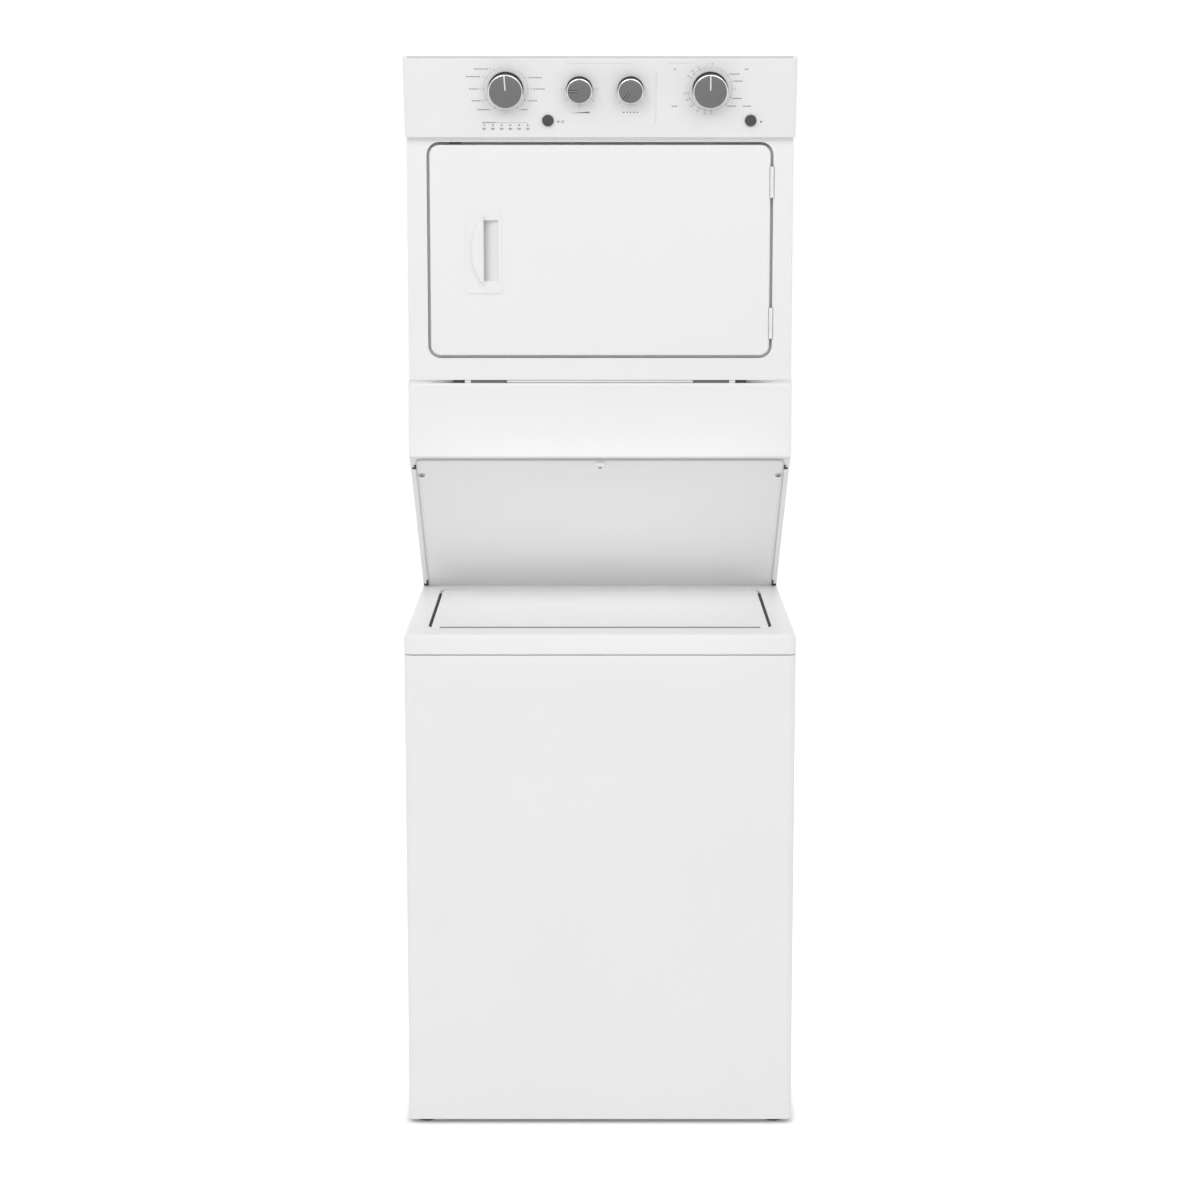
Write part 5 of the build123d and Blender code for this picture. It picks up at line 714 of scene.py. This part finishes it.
def door_ledge(corner=18, near=0.9, far=4.8, depth=14, deepest=23, steps=10):
    """Flat strip at the back of the gap round the door, open along the top: four quarter turns about the
    corners of the door, joined by straight sides. It lies deeper towards its two ends."""
    low, high = (np.array(end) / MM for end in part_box("door_skin"))
    left, right, foot, top = low[0] + corner, high[0] - corner, low[2] + corner, high[2] - corner
    first = np.array([[0.5], [1.0], [1.5], [2.0]]) * np.pi
    turn = (first + np.linspace(0, np.pi / 2, steps)).ravel()
    outward = np.column_stack([np.cos(turn), np.sin(turn)])
    heart = np.repeat([[left, top], [left, foot], [right, foot], [right, top]], steps, axis=0)
    fall = np.linspace(deepest, depth + 0.5, steps)
    back = np.concatenate([fall, np.full(2 * steps, depth), fall[::-1]])
    sides = np.stack([heart + outward * (corner + grow) for grow in (near, far)], 1).reshape(-1, 2) * MM
    return np.column_stack([sides[:, 0], face + np.repeat(back, 2) * MM, sides[:, 1]]), quads(len(heart), 2)


shape("door_gap_ledge", [(*door_ledge(), 0)], [enamel], "cabinet")
bumper_crown = np.mean(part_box("lid_bumper"), axis=0) + OFF_SLOPE * 4.0 * MM
cross_screw("bumper_screw", bumper_crown, OFF_SLOPE, UP_SLOPE, 3.6, "cabinet")


# Back of the machine: hex-head screws, pressed ribs and air louvres

BACKWARD = np.array([0.0, 1.0, 0.0])
UPWARD = np.array([0.0, 0.0, 1.0])
LEFT = -RIGHT
rear = float(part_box("washer_rear_panel")[1][1])


def on_back(sheet, x, z):
    """A sheet set on the back, at a place in millimetres from the middle and from the floor."""
    return placed(sheet, np.array([x * MM, rear, z * MM]), LEFT, UPWARD, BACKWARD)


def hex_screw(x, z):
    """Sheet-metal screw on the back: a round flange and a six-sided head with a soft crown."""
    flange = turned([5.4, 5.4, 4.6, 3.6], [0.0, 0.7, 1.2, 1.3], 30)
    head = turned([3.6, 3.6, 3.2, 0.0], [1.2, 3.8, 4.3, 4.3], 6)
    return [(*on_back(sheet, x, z), 0) for sheet in (flange, head)]


def pressed_rib(x, z, width, height, rise, edge=18.0):
    """Stiffening rib on the back: a flat-topped swelling with a round edge."""
    return (*on_back(pillow(width, height, rise, soft=edge / min(width, height), steps=7), x, z), 0)


def louvre(x, z, length, height, rise, columns=25, rows=7):
    """Air louvre on the back: a hood that swells as a quarter sine down to an open lip, and that falls away to
    both ends as the sixth power. Under the lip a black sheet paints the shade inside the opening."""
    share, drop = np.meshgrid(np.linspace(-1, 1, columns), np.linspace(0, 1, rows))
    swell = rise * (1 - share ** 6) * np.sin(drop * np.pi / 2)
    hood = np.stack([share * length / 2, -drop * height, swell], -1).reshape(-1, 3)
    lip = hood[-columns:]
    painted_opening_shade = np.concatenate([lip, lip * [1, 1, 0]])
    return [(*on_back((hood, quads(rows, columns)[:, ::-1]), x, z), 0),
            (*on_back((painted_opening_shade, quads(2, columns)[:, ::-1]), x, z), 1)]


def joined(make, places):
    """The sheets of one small thing made at many places."""
    return [sheet for place in places for sheet in make(*place)]


SCREW_ROWS = 5
dryer_foot = float(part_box("dryer_cabinet")[0][2]) / MM
roof_foot = float(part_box("dryer_top")[0][2]) / MM
low_row, high_row = dryer_foot + 30, roof_foot - 25
dryer_screws = [(side * 331, z) for side in (-1, 1) for z in np.linspace(low_row, high_row, SCREW_ROWS)]
dryer_screws += [(x, high_row) for x in (-166, 0, 166)] + [(0, low_row)]
shape("dryer_rear_screws", joined(hex_screw, dryer_screws), [steel], "cabinet")
low_row, high_row = 50, 845
washer_screws = [(side * 334, z) for side in (-1, 1) for z in np.linspace(low_row, high_row, SCREW_ROWS)]
washer_screws += [(side * 120, z) for side in (-1, 1) for z in (low_row, high_row)]
shape("washer_rear_screws", joined(hex_screw, washer_screws), [steel], "cabinet")
ribs = [pressed_rib(x, 395, 46, 560, 5.0) for x in (-215, 0, 215)]
shape("washer_rear_ribs", ribs, [zinc], "cabinet")
slots = [(x, 1500 - 22 * step, 116, 13, 5.0) for x in (-150, 0, 150) for step in range(8)]
shape("dryer_rear_louvres", joined(louvre, slots), [enamel, nylon], "cabinet")


# Floor, lights and camera

def studio_floor():
    # White paper sweep: a matt white sheet. To the camera alone it glows up to white, and less so within 30 mm
    # of the machine's footprint: a painted contact shadow under and beside it.
    material, tree, shader, place = finish_of("white_paper_sweep_painted_contact_shadow", Roughness=0.9)
    fibre = add(tree, "TexNoise", {"Vector": place, "Scale": repeats(10)}).outputs["Fac"]
    two_tone(tree, shader, fibre, "#f4f4f4", "#f8f8f8")
    axes = add(tree, "SeparateXYZ", {"Vector": place}).outputs
    past_sides = []
    for axis, middle, half in (("X", 0.0, 0.346), ("Y", -0.017, 0.3925)):
        off = add(tree, "Math", {0: axes[axis], 1: middle}, operation="SUBTRACT").outputs[0]
        far = add(tree, "Math", {0: off}, operation="ABSOLUTE").outputs[0]
        past = add(tree, "Math", {0: far, 1: half}, operation="SUBTRACT").outputs[0]
        past_sides.append(add(tree, "Math", {0: past, 1: 0.0}, operation="MAXIMUM").outputs[0])
    reach = add(tree, "CombineXYZ", {"X": past_sides[0], "Y": past_sides[1]}).outputs[0]
    away = add(tree, "VectorMath", {0: reach}, operation="LENGTH").outputs["Value"]
    # Painted contact shadow: the camera's glow falls from 0.55 to 0.18 towards the machine's footprint.
    lift = add(tree, "MapRange", {"Value": away, "From Max": 0.03, "To Min": 0.18, "To Max": 0.55},
               interpolation_type="SMOOTHSTEP")
    glow_with_painted_contact_shadow = add(tree, "Emission", {"Strength": lift.outputs["Result"]})
    mixed = add(tree, "AddShader", {0: shader.outputs[0], 1: glow_with_painted_contact_shadow.outputs[0]})
    seen = add(tree, "LightPath").outputs["Is Camera Ray"]
    pick = add(tree, "MixShader", {0: seen, 1: shader.outputs[0], 2: mixed.outputs[0]})
    tree.links.new(pick.outputs[0], tree.nodes["Material Output"].inputs["Surface"])
    return material


def stage_sheet(name, corners, material):
    """Flat sheet of the studio, from four corners in metres."""
    mesh = bpy.data.meshes.new(name)
    mesh.from_pydata(corners, [], [(0, 1, 2, 3)])
    mesh.materials.append(material)
    sheet = bpy.data.objects.new(name, mesh)
    bpy.context.collection.objects.link(sheet)


def soft_light(name, place, aim, size, watts, spread=180.0):
    """Area lamp of a given width and height at a place, turned to a point, its beam limited to a spread."""
    lamp = bpy.data.lights.new(name, "AREA")
    lamp.shape, lamp.energy, lamp.spread = "RECTANGLE", watts, np.radians(spread)
    lamp.size, lamp.size_y = size
    holder = bpy.data.objects.new(name, lamp)
    holder.location = place
    holder.rotation_euler = (Vector(aim) - Vector(place)).to_track_quat("-Z", "Y").to_euler()
    bpy.context.collection.objects.link(holder)


SWEEP = 9.0
stage_sheet("paper_sweep", [(-SWEEP, -SWEEP, 0), (SWEEP, -SWEEP, 0), (SWEEP, SWEEP, 0), (-SWEEP, SWEEP, 0)],
            studio_floor())

# Lamps: two large boxes high in front, weak strips for the lid, the recess, the foot and the upright edges,
# and two boxes behind for the back and the roof. Lengths in metres, power in watts, spread in degrees.
soft_light("key_softbox", (-1.7, -3.2, 3.9), (0, -0.1, 0.95), (2.4, 2.4), 48.0)
soft_light("fill_softbox", (1.7, -3.2, 3.9), (0, -0.1, 0.95), (2.4, 2.4), 37.5)
soft_light("lid_strip", (0, -1.15, 1.78), (0, -0.07, 0.9), (0.62, 0.2), 0.12, 17.0)
soft_light("recess_strip", (0, -1.5, 0.72), (0, -0.1, 1.06), (0.6, 0.12), 0.025, 16.0)
soft_light("foot_fill", (0, -3.0, 0.3), (0, -0.41, 0.1), (2.0, 0.4), 0.37, 60.0)
for side in (-1, 1):
    soft_light(f"edge_strip_{side}", (side * 2.4, -0.8, 1.0), (0, -0.35, 1.0), (0.5, 2.2), 4.0)
soft_light("rear_softbox", (-3.1, 2.9, 1.8), (0, 0, 1.0), (2.4, 2.0), 32.0)
soft_light("rear_fill_softbox", (3.2, 2.8, 1.6), (0, 0, 1.0), (2.4, 2.0), 20.0)

# World: white where it is seen or mirrored, and a little more than half of that as light
WORLD_LIGHT = 0.55
world = bpy.data.worlds.new("white_studio")
bpy.context.scene.world = world
world.use_nodes = True
sky = world.node_tree
path = add(sky, "LightPath").outputs
mirrored = add(sky, "Math", {0: path["Is Glossy Ray"], 1: path["Is Transmission Ray"]}, operation="MAXIMUM")
bright = add(sky, "Math", {0: path["Is Camera Ray"], 1: mirrored.outputs[0]}, operation="MAXIMUM")
level = add(sky, "MapRange", {"Value": bright.outputs[0], "To Min": WORLD_LIGHT, "To Max": 1.0})
sky.links.new(level.outputs["Result"], sky.nodes["Background"].inputs["Strength"])
sky.nodes["Background"].inputs["Color"].default_value = (1, 1, 1, 1)

# Camera: in front of the middle, a little under the console, tilted down
CAMERA_PLACE, TILT = (0.0, -5.2095, 1.795), 8.98
eye = bpy.data.cameras.new("photo_camera")
eye.lens, eye.sensor_width, eye.shift_y = 83.16, 36.0, -0.035
camera = bpy.data.objects.new("photo_camera", eye)
camera.location = CAMERA_PLACE
camera.rotation_euler = (np.radians(90 - TILT), 0, 0)
bpy.context.collection.objects.link(camera)
bpy.context.scene.camera = camera
bpy.context.scene.view_settings.view_transform = "Standard"
